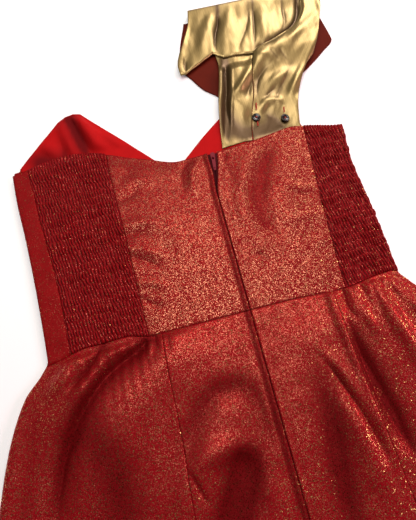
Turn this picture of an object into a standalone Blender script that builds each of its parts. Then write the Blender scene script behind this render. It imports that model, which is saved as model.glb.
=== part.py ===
"""One-shoulder sundress, laid flat on a table with its back up.

Each panel is a cloth wall. It is cut as a flat shape in x (across the dress) and y (from the
waist up to the neck), and then laid: the back lies on top, the front on the table, and a panel
that reaches a side is turned under there in a half round. Sizes are in millimetres.
"""
import math

import bpy
import bmesh
import numpy as np

for old in list(bpy.data.objects):
    bpy.data.objects.remove(old, do_unlink=True)

MM = 0.001

# Cloth walls and the gap left at every seam
CLOTH = 1.4
LINING = 1.2
SATIN = 1.2
SEAM = 0.3
HALF_SEAM = SEAM / 2
HALF_WAIST_SEAM = 0.2

# Heights of the middle of each layer above the table
FRONT_MID = CLOTH / 2
LINING_MID = CLOTH + SEAM + LINING / 2
BACK_MID = 5.4
SASH_MID = CLOTH + LINING + 2 * SEAM + SATIN / 2
SATIN_MID = SATIN / 2

# The middle of the dress's box, from the centre of the waist
CENTRE_X = -31.8
CENTRE_Y = -94.7

# Main lengths: the centre back of the bodice, the skirt and the top of the shoulder fold
BODICE_LENGTH = 205.0
SKIRT_LENGTH = 620.0
HEM_BOW = 22.0
SHOULDER_Y = 430.0

# The two side folds: x of the fold, and the radius of its half round, at each y
SIDES = {
    "y": (-620, -480, -330, -200, -134, -80, -34, -12, 0, 71, 149, 200, 245),
    "left": (-428, -395, -352, -318, -300, -284, -262, -241, -233.5, -235, -239, -243, -244),
    "right": (372, 338, 296, 262, 244, 226, 203, 188, 181, 180, 177, 182, 183),
    "radius": (4, 5, 6, 6.5, 6.5, 6, 5, 3.6, 3, 3, 3, 3, 3),
}

# The waist seam and the top edge of the back: y at each x
WAIST = {
    "x": (-248, -234, -220, -207, -193, -173, -142, -119, 0, 49, 106, 124, 148, 171, 180, 190),
    "y": (-3, -5.5, -3, 1, 4, 4, 5, -1, -1, -1, -4, -3, 1, 3, 0, -3),
}
BACK_TOP = {
    "x": (-244, -224, -203, -173, -148, -124, -98, -71, -37, 0, 30, 83, 116, 132, 150, 178, 250),
    "y": (236, 238, 243, 246, 243, 236, 225, 215, 204, 205, 205.5, 211, 215.5, 213, 209, 202, 200),
}

# The front's neckline, cups and right armhole, seen from inside: y at each x
FRONT_TOP = {
    "x": (-244, -224, -197, -178, -167, -157, -147, -138, -118, -95, -70, -45, -27, 2, 28, 45,
          86, 126, 129, 133, 144, 178),
    "y": (234, 255, 281, 299, 305.5, 307, 304, 294, 272, 247, 219, 191, 206, 231, 251, 262,
          266, 262, 236, 212, 205, 198),
}

# Seams on the bodice back: x at each y
BODICE_SEAMS = {
    "y": (-10, 35, 78, 123, 170, 212, 250),
    "smock_left_outer": (-208, -208.5, -210, -214, -219, -222, -226),
    "smock_left_inner": (-119, -120, -121, -122, -124, -125, -124),
    "smock_right_inner": (114, 117, 120, 124, 129, 132, 132),
    "front_right": (145, 145, 145, 145, 146, 147, 148),
}
SKIRT_SEAMS = {
    "y": (-620, -400, -200, -103, -30, 0),
    "left": (-165, -132, -112, -107, -105, -104),
    "right": (150, 122, 106, 101, 98, 98),
    "under_left": (-388, -335, -280, -264, -222, -200),
    "under_right": (332, 280, 224, 206, 163, 145),
}

# The zip: its line bends at the top, where it is open down to the slider
ZIP_LINE = {"y": (-620, 146, 177, 210), "x": (0, 0, 5, 8.5)}
ZIP_OPEN = {"y": (-620, 140, 160, 177, 192, 210), "half_width": (0.15, 0.15, 1.3, 3.0, 5.2, 6.6)}
ZIP_TAPE_HALF = 10.0
ZIP_TAPE_THICK = 1.0
ZIP_END_Y = -175.0
PLACKET = 10.0
PLACKET_STEP = 0.5

# Soft folds of the back. "line" is the crest or the bottom of the fold, "rise" its height or
# depth, "open" is 1 where the fold starts at full height from a seam
BODICE_FOLDS = [
    {"line": ((63, 169), (47, 131), (48, 91), (60, 62)), "width": 8, "rise": -1.2, "open": 0},
    {"line": ((76, 172), (62, 132), (64, 92), (78, 60)), "width": 12, "rise": 1.8, "open": 0},
    {"line": ((30, 150), (28, 100), (34, 50)), "width": 12, "rise": 1.6, "open": 0},
    {"line": ((84, 126), (130, 114)), "width": 9, "rise": 1.4, "open": 0},
    {"line": ((86, 84), (116, 74)), "width": 8, "rise": 1.2, "open": 0},
    {"line": ((-14, 192), (-28, 178), (-34, 150)), "width": 5, "rise": 2.2, "open": 1},
    {"line": ((-118, 78), (-80, 70), (-50, 82)), "width": 9, "rise": 1.4, "open": 1},
    {"line": ((-120, 34), (-84, 30)), "width": 8, "rise": 1.2, "open": 1},
    {"line": ((-122, 130), (-70, 122), (-30, 128)), "width": 12, "rise": 1.6, "open": 0},
    {"line": ((-112, 215), (-96, 190), (-70, 180)), "width": 9, "rise": 1.6, "open": 1},
]
SKIRT_FOLDS = [
    {"line": ((-193, 3), (-206, -9), (-222, -30)), "width": 8, "rise": 8, "open": 1},
    {"line": ((-158, 3), (-172, -16), (-193, -35), (-214, -58)), "width": 9, "rise": 9, "open": 1},
    {"line": ((-133, -6), (-158, -14), (-178, -27), (-194, -47), (-213, -95)), "width": 8,
     "rise": -4, "open": 1},
    {"line": ((-123, -6), (-139, -28), (-167, -44), (-196, -84), (-226, -200)), "width": 15,
     "rise": 8, "open": 1},
    {"line": ((-108, -14), (-117, -41), (-137, -90)), "width": 6, "rise": -2.5, "open": 0},
    {"line": ((-104, -118), (-66, -116), (-34, -132), (-24, -165)), "width": 15, "rise": 6,
     "open": 0},
    {"line": ((-230, -60), (-262, -140), (-300, -330)), "width": 20, "rise": 6, "open": 0},
    {"line": ((96, -8), (94, -60), (96, -110), (100, -170)), "width": 6, "rise": 3.0, "open": 1},
    {"line": ((106, -34), (112, -90), (122, -170)), "width": 10, "rise": -3, "open": 0},
    {"line": ((121, -5), (118, -26), (119, -46)), "width": 5, "rise": -3, "open": 1},
    {"line": ((132, -4), (136, -40), (150, -110)), "width": 8, "rise": 7, "open": 1},
    {"line": ((154, 0), (168, -24), (190, -80)), "width": 9, "rise": 6, "open": 1},
    {"line": ((63, -52), (65, -85), (76, -122)), "width": 5, "rise": -1.6, "open": 0},
    {"line": ((82, -48), (84, -90), (92, -140)), "width": 9, "rise": 2.6, "open": 0},
    {"line": ((46, -40), (50, -100), (56, -170)), "width": 13, "rise": 2.6, "open": 0},
]
# Where the gathered sides stand up from the table: the middle, reach and height of each swell
SWELLS = (
    {"x": -205, "y": -58, "reach": 52, "rise": 9},
    {"x": 150, "y": -60, "reach": 52, "rise": 4},
)
GATHERS = 8
GATHERED_WIDTH = 89.0
GATHER_RISE = 1.3
GATHER_LENGTH = 24.0
FLUTES = 5
FLUTE_RISE = 7.0
FLUTE_START = -90.0
FLUTE_LENGTH = 400.0
# The back keeps above the front, and on the bodice above the lining too
LOWEST_BODICE = BACK_MID - 1.0
LOWEST_SKIRT = 2.9
NEAR_ZIP = 16.0
ZIP_TOP_LIFT = 0.6
# How far in from a side fold the back comes down from the top of its half round
SIDE_SLOPE = 26.0

# Smocking: rows of elastic thread, and the cloth puffed up between them
SMOCK_ROWS = 18
SMOCK_COLUMNS = 22
PUFF = 1.1

# Gold sash: edges of each stretch, x at each y
SASH_FRONT = {
    "y": (262, 285, 302, 322, 338, 360, 415),
    "left": (46, 38, 21, 9, 0, 2, 20),
    "right": (125, 146, 172, 199, 217, 215, 206),
}
SASH_UPPER = {"y": (325, 339, 380, 408, 430), "left": (-4, -5, 12, 25, 30)}
SASH_UPPER_RIGHT = 196.0
SASH_UPPER_LOW = {
    "x": (-5, 3, 47, 60, 78, 101, 133, 200),
    "y": (328, 328, 351, 341, 341, 338, 349, 362),
}
SASH_END = {
    "y": (205, 211, 243, 272, 300, 315, 337, 352, 367),
    "left": (22, 23, 28, 34, 42, 46, 50, 50, 48),
    "seam": (63, 64, 72, 82, 89, 93, 100, 104, 107),
    "right": (131, 130, 135, 147, 164, 179, 193, 200, 205),
}
SASH_TOP_LEFT = {
    "y": (315, 337, 343, 350, 369, 392, 425),
    "x": (93, 101, 108, 128, 170, 186, 192),
}
SASH_TOP_RIGHT = {"y": (315, 343, 367, 395, 425), "x": (179, 195, 205, 215, 221)}
SASH_HEM = {"x": (20, 31, 53, 65, 90, 132), "y": (207, 208.5, 210.5, 209, 206, 205)}
SASH_FOLDS = [
    {"line": ((92, 313), (72, 295), (59, 279), (56, 266)), "width": 6, "rise": 3.6, "open": 0},
    {"line": ((82, 300), (68, 280), (72, 262)), "width": 4, "rise": -1.4, "open": 0},
    {"line": ((74, 250), (89, 261), (112, 259)), "width": 6, "rise": 2.6, "open": 0},
    {"line": ((112, 324), (124, 305), (104, 282)), "width": 8, "rise": 3.0, "open": 0},
    {"line": ((104, 330), (132, 340), (200, 368)), "width": 11, "rise": 2.0, "open": 0},
    {"line": ((196, 356), (180, 322), (158, 290), (142, 262)), "width": 6, "rise": 2.0, "open": 0},
]
SASH_EDGE_ROLL = 2.6
UPPER_FOLDS = [
    {"line": ((67, 425), (58, 380), (48, 352)), "width": 5, "rise": -1.6, "open": 1},
    {"line": ((44, 425), (30, 370), (16, 336)), "width": 11, "rise": 2.2, "open": 1},
    {"line": ((88, 425), (72, 380), (64, 342)), "width": 9, "rise": 2.0, "open": 1},
    {"line": ((115, 425), (112, 380), (102, 338)), "width": 5, "rise": -1.6, "open": 1},
    {"line": ((140, 425), (132, 390), (122, 345)), "width": 9, "rise": 1.6, "open": 1},
]
SHOULDER_RADIUS = 4.2
UPPER_MID = 6.6
SASH_TOP_MID = 10.2

# Zip slider and its pull tab, which leans with the zip
ZIP_LEAN = math.radians(6.0)
HINGE_X = 7.0
HINGE_Y = 197.0
SLIDER_LOW = 5.35
SLIDER_WIDTH = 6.0
SLIDER_THICK = 1.6
SLIDER_ABOVE = 7.5
SLIDER_BELOW = 5.0
ARCH_WIDTH = 2.0
ARCH_WALL = 0.9
ARCH_GAP = 1.0
BAR = 0.9
TAB_WIDTH = 4.6
TAB_END_WIDTH = 3.4
TAB_LENGTH = 18.5
EYE_WIDTH = 2.6
EYE_LENGTH = 3.3
TAB_HOLE = 0.7
HINGE_Z = SLIDER_LOW + SLIDER_THICK + ARCH_GAP

# Buttons on the end of the sash
BUTTON_RADIUS = 5.7
BUTTON_THICK = 2.2
BUTTON_RIM = 1.3
BUTTONS = {"button_left": (77.0, 240.0, 0.0), "button_right": (113.0, 229.0, 9.0)}
BUTTON_SEAT = 13.0

# Colour (linear), metallic and roughness of each finish
FINISHES = {
    "glitter_cotton": ((0.27, 0.012, 0.014), 0.25, 0.42),
    "smocked_cotton": ((0.20, 0.007, 0.012), 0.15, 0.55),
    "red_lining": ((0.58, 0.012, 0.014), 0.0, 0.7),
    "gold_satin": ((0.58, 0.40, 0.17), 0.6, 0.3),
    "dark_red_lining": ((0.10, 0.016, 0.010), 0.0, 0.6),
    "zip_polyester": ((0.20, 0.010, 0.022), 0.0, 0.5),
    "dark_button": ((0.03, 0.022, 0.02), 0.0, 0.25),
}

root = bpy.data.objects.new("dress_centre", None)
root.location = (-CENTRE_X * MM, -CENTRE_Y * MM, 0)
bpy.context.scene.collection.objects.link(root)


def finish(name):
    """The Principled material of this finish, made once."""
    if name in bpy.data.materials:
        return bpy.data.materials[name]
    colour, metallic, roughness = FINISHES[name]
    material = bpy.data.materials.new(name)
    material.use_nodes = True
    shader = material.node_tree.nodes["Principled BSDF"]
    shader.inputs["Base Color"].default_value = (*colour, 1)
    shader.inputs["Metallic"].default_value = metallic
    shader.inputs["Roughness"].default_value = roughness
    return material


def smooth_curve(at, knots, values):
    """A smooth curve through a table's points that never swings past them."""
    knots = np.asarray(knots, float)
    values = np.asarray(values, float)
    rise = np.diff(values) / np.diff(knots)
    same_way = rise[:-1] * rise[1:] > 0
    total = np.where(same_way, rise[:-1] + rise[1:], 1.0)
    slopes = np.r_[rise[0], np.where(same_way, 2 * rise[:-1] * rise[1:] / total, 0.0), rise[-1]]
    at = np.clip(at, knots[0], knots[-1])
    cell = np.clip(np.searchsorted(knots, at, side="right") - 1, 0, len(knots) - 2)
    span = knots[cell + 1] - knots[cell]
    t = (at - knots[cell]) / span
    start = (2 * t**3 - 3 * t**2 + 1) * values[cell] + (t**3 - 2 * t**2 + t) * span * slopes[cell]
    end = (3 * t**2 - 2 * t**3) * values[cell + 1] + (t**3 - t**2) * span * slopes[cell + 1]
    return start + end


def ease(t):
    """0 to 1 with no slope at either end."""
    t = np.clip(t, 0, 1)
    return t * t * (3 - 2 * t)


def fold_height(x, y, folds):
    """Height added by soft folds: each is the envelope of round bumps set along its line."""
    samples = 30
    total = np.zeros(np.shape(x))
    for fold in folds:
        line = np.array(fold["line"], float)
        steps = np.r_[0, np.cumsum(np.hypot(*np.diff(line, axis=0).T))]
        along = (np.arange(samples) + 0.5) / samples
        path_x = smooth_curve(along * steps[-1], steps, line[:, 0])
        path_y = smooth_curve(along * steps[-1], steps, line[:, 1])
        swell = np.sin(math.pi * along) ** 0.7
        if fold["open"]:
            swell = np.where(along < 0.5, 1.0, swell)
        away = (x[..., None] - path_x) ** 2 + (y[..., None] - path_y) ** 2
        total += fold["rise"] * (swell * np.exp(-away / fold["width"] ** 2)).max(-1)
    return total


def side(name, y):
    return smooth_curve(y, SIDES["y"], SIDES[name])


def bodice_seam(name, shift=0.0):
    return lambda y: smooth_curve(y, BODICE_SEAMS["y"], BODICE_SEAMS[name]) + shift


def skirt_seam(name, shift=0.0):
    return lambda y: smooth_curve(y, SKIRT_SEAMS["y"], SKIRT_SEAMS[name]) + shift


def under_right(seam):
    """The cut position, past the right fold, of a seam that lies on the table at this x."""
    def cut(y):
        bend = side("right", y) - side("radius", y)
        return bend + math.pi * side("radius", y) + bend - seam(y)
    return cut


def under_left(seam):
    """The cut position, past the left fold, of a seam that lies on the table at this x."""
    def cut(y):
        bend = side("left", y) + side("radius", y)
        return bend - math.pi * side("radius", y) + bend - seam(y)
    return cut


def zip_edge(sign):
    """The edge of the back panel beside the zip: -1 left, +1 right."""
    def edge(y):
        line = smooth_curve(y, ZIP_LINE["y"], ZIP_LINE["x"])
        return line + sign * smooth_curve(y, ZIP_OPEN["y"], ZIP_OPEN["half_width"])
    return edge


def waist(shift):
    return lambda x: np.interp(x, WAIST["x"], WAIST["y"]) + shift


def back_top(x):
    return smooth_curve(x, BACK_TOP["x"], BACK_TOP["y"])


def front_top(x):
    return np.interp(x, FRONT_TOP["x"], FRONT_TOP["y"])


def gather_waves(x, y):
    """Small gathers below the smocking, which fade as they leave the waist seam."""
    left = (x - BODICE_SEAMS["smock_left_outer"][0]) / GATHERED_WIDTH
    right = (x - BODICE_SEAMS["smock_right_inner"][0]) / GATHERED_WIDTH
    fade = np.exp(-np.clip(-y, 0, None) / GATHER_LENGTH) * ease(-y / 6)
    waves = np.zeros(np.shape(x))
    for across in (left, right):
        inside = ease(across / 0.08) * ease((1 - across) / 0.08)
        waves += inside * np.cos(2 * math.pi * GATHERS * across)
    return GATHER_RISE * fade * (waves + 0.6)


def flutes(x, y):
    """Broad waves that open towards the hem, most of all at the sides."""
    middle = (side("left", y) + side("right", y)) / 2
    half = (side("right", y) - side("left", y)) / 2
    across = (x - middle) / half
    opening = ease((FLUTE_START - y) / FLUTE_LENGTH)
    wave = 0.5 + 0.5 * np.cos(math.pi * FLUTES * across + 1.1 * np.sin(2.3 * across))
    return FLUTE_RISE * opening * wave * (0.35 + 0.65 * ease(np.abs(across) * 1.6))


def back_height(x, y):
    """Height of the middle of the back's cloth above the table."""
    height = BACK_MID + fold_height(x, y, BODICE_FOLDS) * ease(y / 14) * ease((214 - y) / 14)
    skirt = fold_height(x, y, SKIRT_FOLDS) + gather_waves(x, y) + flutes(x, y)
    for swell in SWELLS:
        away = (x - swell["x"]) ** 2 + (y - swell["y"]) ** 2
        skirt = skirt + swell["rise"] * np.exp(-away / swell["reach"] ** 2)
    height = height + skirt * ease(-y / 9)
    near_zip = np.exp(-(x / NEAR_ZIP) ** 4)
    at_zip = BACK_MID + ZIP_TOP_LIFT * ease((y - 120) / 60)
    height = height * (1 - near_zip) + at_zip * near_zip
    lowest = np.where(y > -4, LOWEST_BODICE, LOWEST_SKIRT)
    return lowest + np.logaddexp(0, (height - lowest) * 2) / 2


def laid(cut_x, y):
    """Lay a cut of the back: flat in the middle, turned under in a half round at each side."""
    radius = side("radius", y)
    bend_left = side("left", y) + radius
    bend_right = side("right", y) - radius
    turned_right = np.clip((cut_x - bend_right) / radius, 0, math.pi)
    turned_left = np.clip((bend_left - cut_x) / radius, 0, math.pi)
    past_right = np.clip(cut_x - bend_right - math.pi * radius, 0, None)
    past_left = np.clip(bend_left - math.pi * radius - cut_x, 0, None)
    x = np.clip(cut_x, bend_left, bend_right)
    x = x + radius * (np.sin(turned_right) - np.sin(turned_left)) - past_right + past_left
    middle = np.clip(cut_x, bend_left, bend_right)
    near_side = ease(np.minimum(middle - bend_left, bend_right - middle) / SIDE_SLOPE)
    fold_top = FRONT_MID + 2 * radius
    top = back_height(middle, y) * near_side + fold_top * (1 - near_side)
    turned = turned_right + turned_left
    around = FRONT_MID + radius * (1 + np.cos(turned))
    z = np.where(turned > 0, around, top)
    return np.stack((x, y, z), -1)


def flat_at(height):
    return lambda x, y: np.stack((x, y, np.full(np.shape(x), height)), -1)


def cut_grid(left, right, bottom, top, across, along):
    """Points of a panel between four edges: x edges are functions of y, y edges of x."""
    u, v = np.meshgrid(across, along)
    x = np.zeros(u.shape)
    y = np.zeros(u.shape)
    for _ in range(6):
        y = bottom(x) * (1 - v) + top(x) * v
        x = left(y) * (1 - u) + right(y) * u
    return x, y


def normals(place, x, y):
    """The laid surface's upward direction, from two short steps along the cut."""
    step = 0.4
    over_x = place(x + step, y) - place(x - step, y)
    over_y = place(x, y + step) - place(x, y - step)
    out = np.cross(over_x, over_y)
    return out / np.linalg.norm(out, axis=-1, keepdims=True)


def wall(name, place, grid, thick, material, raised=0.0):
    """A closed cloth wall about a laid grid, with its outer points raised where asked."""
    x, y = grid
    middle = place(x, y)
    out = normals(place, x, y)
    outer = middle + out * (thick / 2 + np.asarray(raised))[..., None]
    inner = middle - out * (thick / 2)
    return closed_wall(name, outer, inner, material)


def closed_wall(name, outer, inner, material):
    """Two grids of points joined round their rim into one closed solid."""
    rows, columns = outer.shape[:2]
    mesh = bmesh.new()
    top = [[mesh.verts.new(point * MM) for point in row] for row in outer]
    low = [[mesh.verts.new(point * MM) for point in row] for row in inner]
    for i in range(rows - 1):
        for j in range(columns - 1):
            mesh.faces.new((top[i][j], top[i][j + 1], top[i + 1][j + 1], top[i + 1][j]))
            mesh.faces.new((low[i][j], low[i + 1][j], low[i + 1][j + 1], low[i][j + 1]))
    rim = [(0, j) for j in range(columns)]
    rim += [(i, columns - 1) for i in range(1, rows)]
    rim += [(rows - 1, j) for j in range(columns - 2, -1, -1)]
    rim += [(i, 0) for i in range(rows - 2, 0, -1)]
    for (i, j), (k, m) in zip(rim, rim[1:] + rim[:1]):
        mesh.faces.new((low[i][j], low[k][m], top[k][m], top[i][j]))
    return solid(name, mesh, material)


def solid(name, mesh, material, origin=(0, 0, 0), smooth=True):
    """Make the named object of this mesh, with its origin at this point of the dress, in mm."""
    data = bpy.data.meshes.new(name)
    mesh.to_mesh(data)
    mesh.free()
    if smooth:
        data.shade_smooth()
    data.materials.append(finish(material))
    part = bpy.data.objects.new(name, data)
    part.parent = root
    part.location = [value * MM for value in origin]
    bpy.context.scene.collection.objects.link(part)
    return part


def even(count):
    return np.linspace(0, 1, count + 1)


def stepped(*runs):
    """Fractions 0 to 1 in runs of (end of the run, how many steps)."""
    marks = [0.0]
    for end, count in runs:
        marks += list(np.linspace(marks[-1], end, count + 1)[1:])
    return np.array(marks)


# Bodice back: two plain panels, each with a folded placket beside the zip
PLACKET_SHARE = PLACKET / -BODICE_SEAMS["smock_left_inner"][0]


def placket_rise(grid, edge):
    """The placket is double cloth, so its strip beside the zip stands a little higher."""
    x, y = grid
    away = np.abs(x - edge(y))
    return PLACKET_STEP * ease((PLACKET + 1 - away) / 1.5)


plain_columns = stepped((1 - PLACKET_SHARE * 1.25, 11), (1 - PLACKET_SHARE * 0.9, 1), (1, 1))
left_zip = zip_edge(-1)
right_zip = zip_edge(1)
grid = cut_grid(bodice_seam("smock_left_inner", HALF_SEAM), left_zip, waist(HALF_WAIST_SEAM), back_top,
                plain_columns, even(14))
wall("bodice_back_left", laid, grid, CLOTH, "glitter_cotton", placket_rise(grid, left_zip))
grid = cut_grid(right_zip, bodice_seam("smock_right_inner", -HALF_SEAM), waist(HALF_WAIST_SEAM), back_top,
                1 - plain_columns[::-1], even(14))
wall("bodice_back_right", laid, grid, CLOTH, "glitter_cotton", placket_rise(grid, right_zip))


def puffs():
    """Raised points of the smocking: every other one, offset from row to row, none at the rim."""
    rows, columns = np.indices((SMOCK_ROWS + 1, SMOCK_COLUMNS + 1))
    raised = np.where((rows + columns) % 2 == 0, PUFF, 0.0)
    raised[:, [0, -1]] = 0
    raised[[0, -1], :] = 0
    return raised


grid = cut_grid(bodice_seam("smock_left_outer", HALF_SEAM),
                bodice_seam("smock_left_inner", -HALF_SEAM), waist(HALF_WAIST_SEAM), back_top,
                even(SMOCK_COLUMNS), even(SMOCK_ROWS))
wall("smock_left", laid, grid, CLOTH, "smocked_cotton", puffs())

# The right smocking is turned under at the side, where it lies flat on the table
grid = cut_grid(bodice_seam("smock_right_inner", HALF_SEAM),
                under_right(bodice_seam("front_right", HALF_SEAM)), waist(HALF_WAIST_SEAM), back_top,
                even(SMOCK_COLUMNS), even(SMOCK_ROWS))
turned_under = grid[0] > side("right", grid[1]) - side("radius", grid[1])
wall("smock_right", laid, grid, CLOTH, "smocked_cotton", np.where(turned_under, 0.0, puffs()))


# Bodice front: from the left smocking, round the left side, to the seam under the right side
def front_edge_top(cut_x):
    """Top edge of the front: the back's edge on the strip, the cups on the table."""
    bend = side("left", 236.0) + side("radius", 236.0)
    on_table = 2 * bend - math.pi * side("radius", 236.0) - cut_x
    return np.where(cut_x > bend, back_top(cut_x), front_top(on_table))


front_marks = 2 * (SIDES["left"][-1] + 3) - math.pi * 3 - np.array(FRONT_TOP["x"][1:])
front_left = bodice_seam("smock_left_outer", -HALF_SEAM)
front_right = under_left(bodice_seam("front_right", -HALF_SEAM))
start = float(front_left(236.0))
finish_x = float(front_right(200.0))
front_columns = (start - front_marks[front_marks > finish_x]) / (start - finish_x)
front_columns = np.r_[np.linspace(0, front_columns[0], 12)[:-1], front_columns, 1]
x, y = cut_grid(front_left, front_right, waist(HALF_WAIST_SEAM), front_edge_top, front_columns, even(7))
wall("bodice_front", laid, (x[:, ::-1], y[:, ::-1]), CLOTH, "glitter_cotton")

# Lining of the front, which shows inside the cups
LINING_INSET = 9.0
CUP_FOLDS = [
    {"line": ((-160, 300), (-152, 278), (-141, 244)), "width": 6, "rise": -1.2, "open": 1},
    {"line": ((-176, 292), (-172, 270), (-160, 246)), "width": 11, "rise": 4.5, "open": 1},
    {"line": ((-146, 296), (-128, 270), (-116, 246)), "width": 10, "rise": 4.0, "open": 1},
]


def lining_place(x, y):
    height = LINING_MID + fold_height(x, y, CUP_FOLDS) * ease((y - 246) / 12)
    return np.stack((x, y, np.maximum(height, LINING_MID)), -1)


lining_marks = np.array(FRONT_TOP["x"])
lining_marks = lining_marks[(lining_marks > -230) & (lining_marks < 170)]
lining_left = float(side("left", 230.0)) + LINING_INSET
lining_right = float(side("right", 190.0)) - LINING_INSET
lining_columns = np.r_[0, (lining_marks - lining_left) / (lining_right - lining_left), 1]
grid = cut_grid(lambda y: side("left", y) + LINING_INSET, lambda y: side("right", y) - LINING_INSET,
                waist(2.0), front_top, lining_columns, stepped((0.7, 3), (1, 5)))
wall("front_lining", lining_place, grid, LINING, "red_lining")


# Skirt: two back panels, two side panels that turn under, and the front on the table
def hem(cut_x):
    """The hem bows down in the middle, as an A-line skirt does when it is laid flat."""
    left_end, right_end = SIDES["left"][0], SIDES["right"][0]
    x = np.where(cut_x < left_end, 2 * left_end - cut_x, cut_x)
    x = np.where(x > right_end, 2 * right_end - x, x)
    return -SKIRT_LENGTH + HEM_BOW * ((x - CENTRE_X) / (right_end - CENTRE_X)) ** 2


def front_waist(x):
    """The waist seam on the table, where the front lies."""
    return np.full(np.shape(x), WAIST["y"][0] - HALF_WAIST_SEAM)


skirt_rows = stepped((0.66, 6), (0.84, 4), (1, 8))
below_waist = waist(-HALF_WAIST_SEAM)
skirt_columns = stepped((1 - PLACKET_SHARE * 1.25, 8), (1 - PLACKET_SHARE * 0.9, 1), (1, 1))
grid = cut_grid(skirt_seam("left", HALF_SEAM), left_zip, hem, below_waist, skirt_columns,
                skirt_rows)
wall("skirt_back_left", laid, grid, CLOTH, "glitter_cotton", placket_rise(grid, left_zip))
grid = cut_grid(right_zip, skirt_seam("right", -HALF_SEAM), hem, below_waist,
                1 - skirt_columns[::-1], skirt_rows)
wall("skirt_back_right", laid, grid, CLOTH, "glitter_cotton", placket_rise(grid, right_zip))

side_columns = stepped((0.56, 22), (0.7, 3), (0.9, 7), (1, 1))
grid = cut_grid(under_left(skirt_seam("under_left", -HALF_SEAM)), skirt_seam("left", -HALF_SEAM),
                hem, below_waist, 1 - side_columns[::-1], skirt_rows)
wall("skirt_side_left", laid, grid, CLOTH, "glitter_cotton")
grid = cut_grid(skirt_seam("right", HALF_SEAM), under_right(skirt_seam("under_right", HALF_SEAM)),
                hem, below_waist, stepped((0.62, 20), (0.8, 7), (1, 2)), skirt_rows)
wall("skirt_side_right", laid, grid, CLOTH, "glitter_cotton")
grid = cut_grid(skirt_seam("under_left", HALF_SEAM), skirt_seam("under_right", -HALF_SEAM), hem,
                front_waist, even(8), skirt_rows)
wall("skirt_front", flat_at(FRONT_MID), grid, CLOTH, "glitter_cotton")


# Zip tape, which hangs below the back panels from the top edge to the end of the zip
def tape_place(x, y):
    height = back_height(x, y) - CLOTH / 2 - SEAM - ZIP_TAPE_THICK / 2
    return np.stack((x, y, height), -1)


grid = cut_grid(lambda y: smooth_curve(y, ZIP_LINE["y"], ZIP_LINE["x"]) - ZIP_TAPE_HALF,
                lambda y: smooth_curve(y, ZIP_LINE["y"], ZIP_LINE["x"]) + ZIP_TAPE_HALF,
                lambda x: np.full(np.shape(x), ZIP_END_Y),
                lambda x: np.full(np.shape(x), BODICE_LENGTH - 1.5), even(2), even(22))
wall("zip_tape", tape_place, grid, ZIP_TAPE_THICK, "zip_polyester")


# Gold sash. The front stretch rises from the right cup with its lining up
grid = cut_grid(lambda y: smooth_curve(y, SASH_FRONT["y"], SASH_FRONT["left"]),
                lambda y: smooth_curve(y, SASH_FRONT["y"], SASH_FRONT["right"]),
                lambda x: front_top(x) + SEAM,
                lambda x: np.full(np.shape(x), SHOULDER_Y - 15.0), even(10), even(8))
wall("strap_front", flat_at(SATIN_MID), grid, SATIN, "dark_red_lining")


def shoulder_place(x, cut_y):
    """Over the shoulder the sash is turned under, back down to the table."""
    bend = SHOULDER_Y - SHOULDER_RADIUS
    turned = np.clip((cut_y - bend) / SHOULDER_RADIUS, 0, math.pi)
    past = np.clip(cut_y - bend - math.pi * SHOULDER_RADIUS, 0, None)
    y = np.minimum(cut_y, bend) + SHOULDER_RADIUS * np.sin(turned) - past
    folds = fold_height(x, cut_y, UPPER_FOLDS) * ease((bend - cut_y) / 20)
    near_fold = ease((bend - cut_y) / 30)
    fold_top = SATIN_MID + 2 * SHOULDER_RADIUS
    top = (UPPER_MID + folds) * near_fold + fold_top * (1 - near_fold)
    z = np.where(turned > 0, SATIN_MID + SHOULDER_RADIUS * (1 + np.cos(turned)), top)
    return np.stack((x, y, z), -1)


SHOULDER_TAIL = SHOULDER_Y - SHOULDER_RADIUS + math.pi * SHOULDER_RADIUS + 10.0
grid = cut_grid(lambda y: smooth_curve(y, SASH_UPPER["y"], SASH_UPPER["left"]),
                lambda y: np.full(np.shape(y), SASH_UPPER_RIGHT),
                lambda x: np.interp(x, SASH_UPPER_LOW["x"], SASH_UPPER_LOW["y"]),
                lambda x: np.full(np.shape(x), SHOULDER_TAIL), even(18),
                stepped((0.72, 6), (0.92, 6), (1, 1)))
wall("strap_upper", shoulder_place, grid, SATIN, "gold_satin")


def sash_place(x, y):
    """The buttoned end of the sash: tucked in at the hem, puffed above it, rolled at its edge."""
    edge = smooth_curve(y, SASH_END["y"], SASH_END["left"])
    roll = SASH_EDGE_ROLL * np.exp(-((x - edge - 5) / 5) ** 2) * ease((y - 208) / 30)
    raised = fold_height(x, y, SASH_FOLDS) + roll + 1.6 * ease((y - 212) / 20)
    for button_x, button_y, _ in BUTTONS.values():
        raised = raised * (1 - np.exp(-((x - button_x) ** 2 + (y - button_y) ** 2) / BUTTON_SEAT**2))
    tucked = ease((y - 318) / 16)
    seam = smooth_curve(y, SASH_END["y"], SASH_END["seam"])
    crossed = ease((y - 300) / 34)
    over = SASH_TOP_MID - SASH_MID
    low = raised * (1 - tucked) * ease((y - 207) / 5)
    high = raised * ease((y - 207) / 5) * (1 - 0.3 * crossed) + over * crossed
    return np.stack((x, y, SASH_MID + np.where(x > seam + 0.05, high, low)), -1)


def sash_seam(shift):
    return lambda y: smooth_curve(y, SASH_END["y"], SASH_END["seam"]) + shift


def sash_hem(x):
    return np.interp(x, SASH_HEM["x"], SASH_HEM["y"])


def sash_right_edge(y):
    low = smooth_curve(y, SASH_END["y"], SASH_END["right"])
    high = smooth_curve(y, SASH_TOP_RIGHT["y"], SASH_TOP_RIGHT["x"])
    return np.where(y < SASH_TOP_RIGHT["y"][0], low, high)


def sash_left_edge(y):
    low = smooth_curve(y, SASH_END["y"], SASH_END["seam"])
    high = np.interp(y, SASH_TOP_LEFT["y"], SASH_TOP_LEFT["x"])
    return np.where(y < SASH_TOP_LEFT["y"][0], low, high) + 0.3


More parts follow.
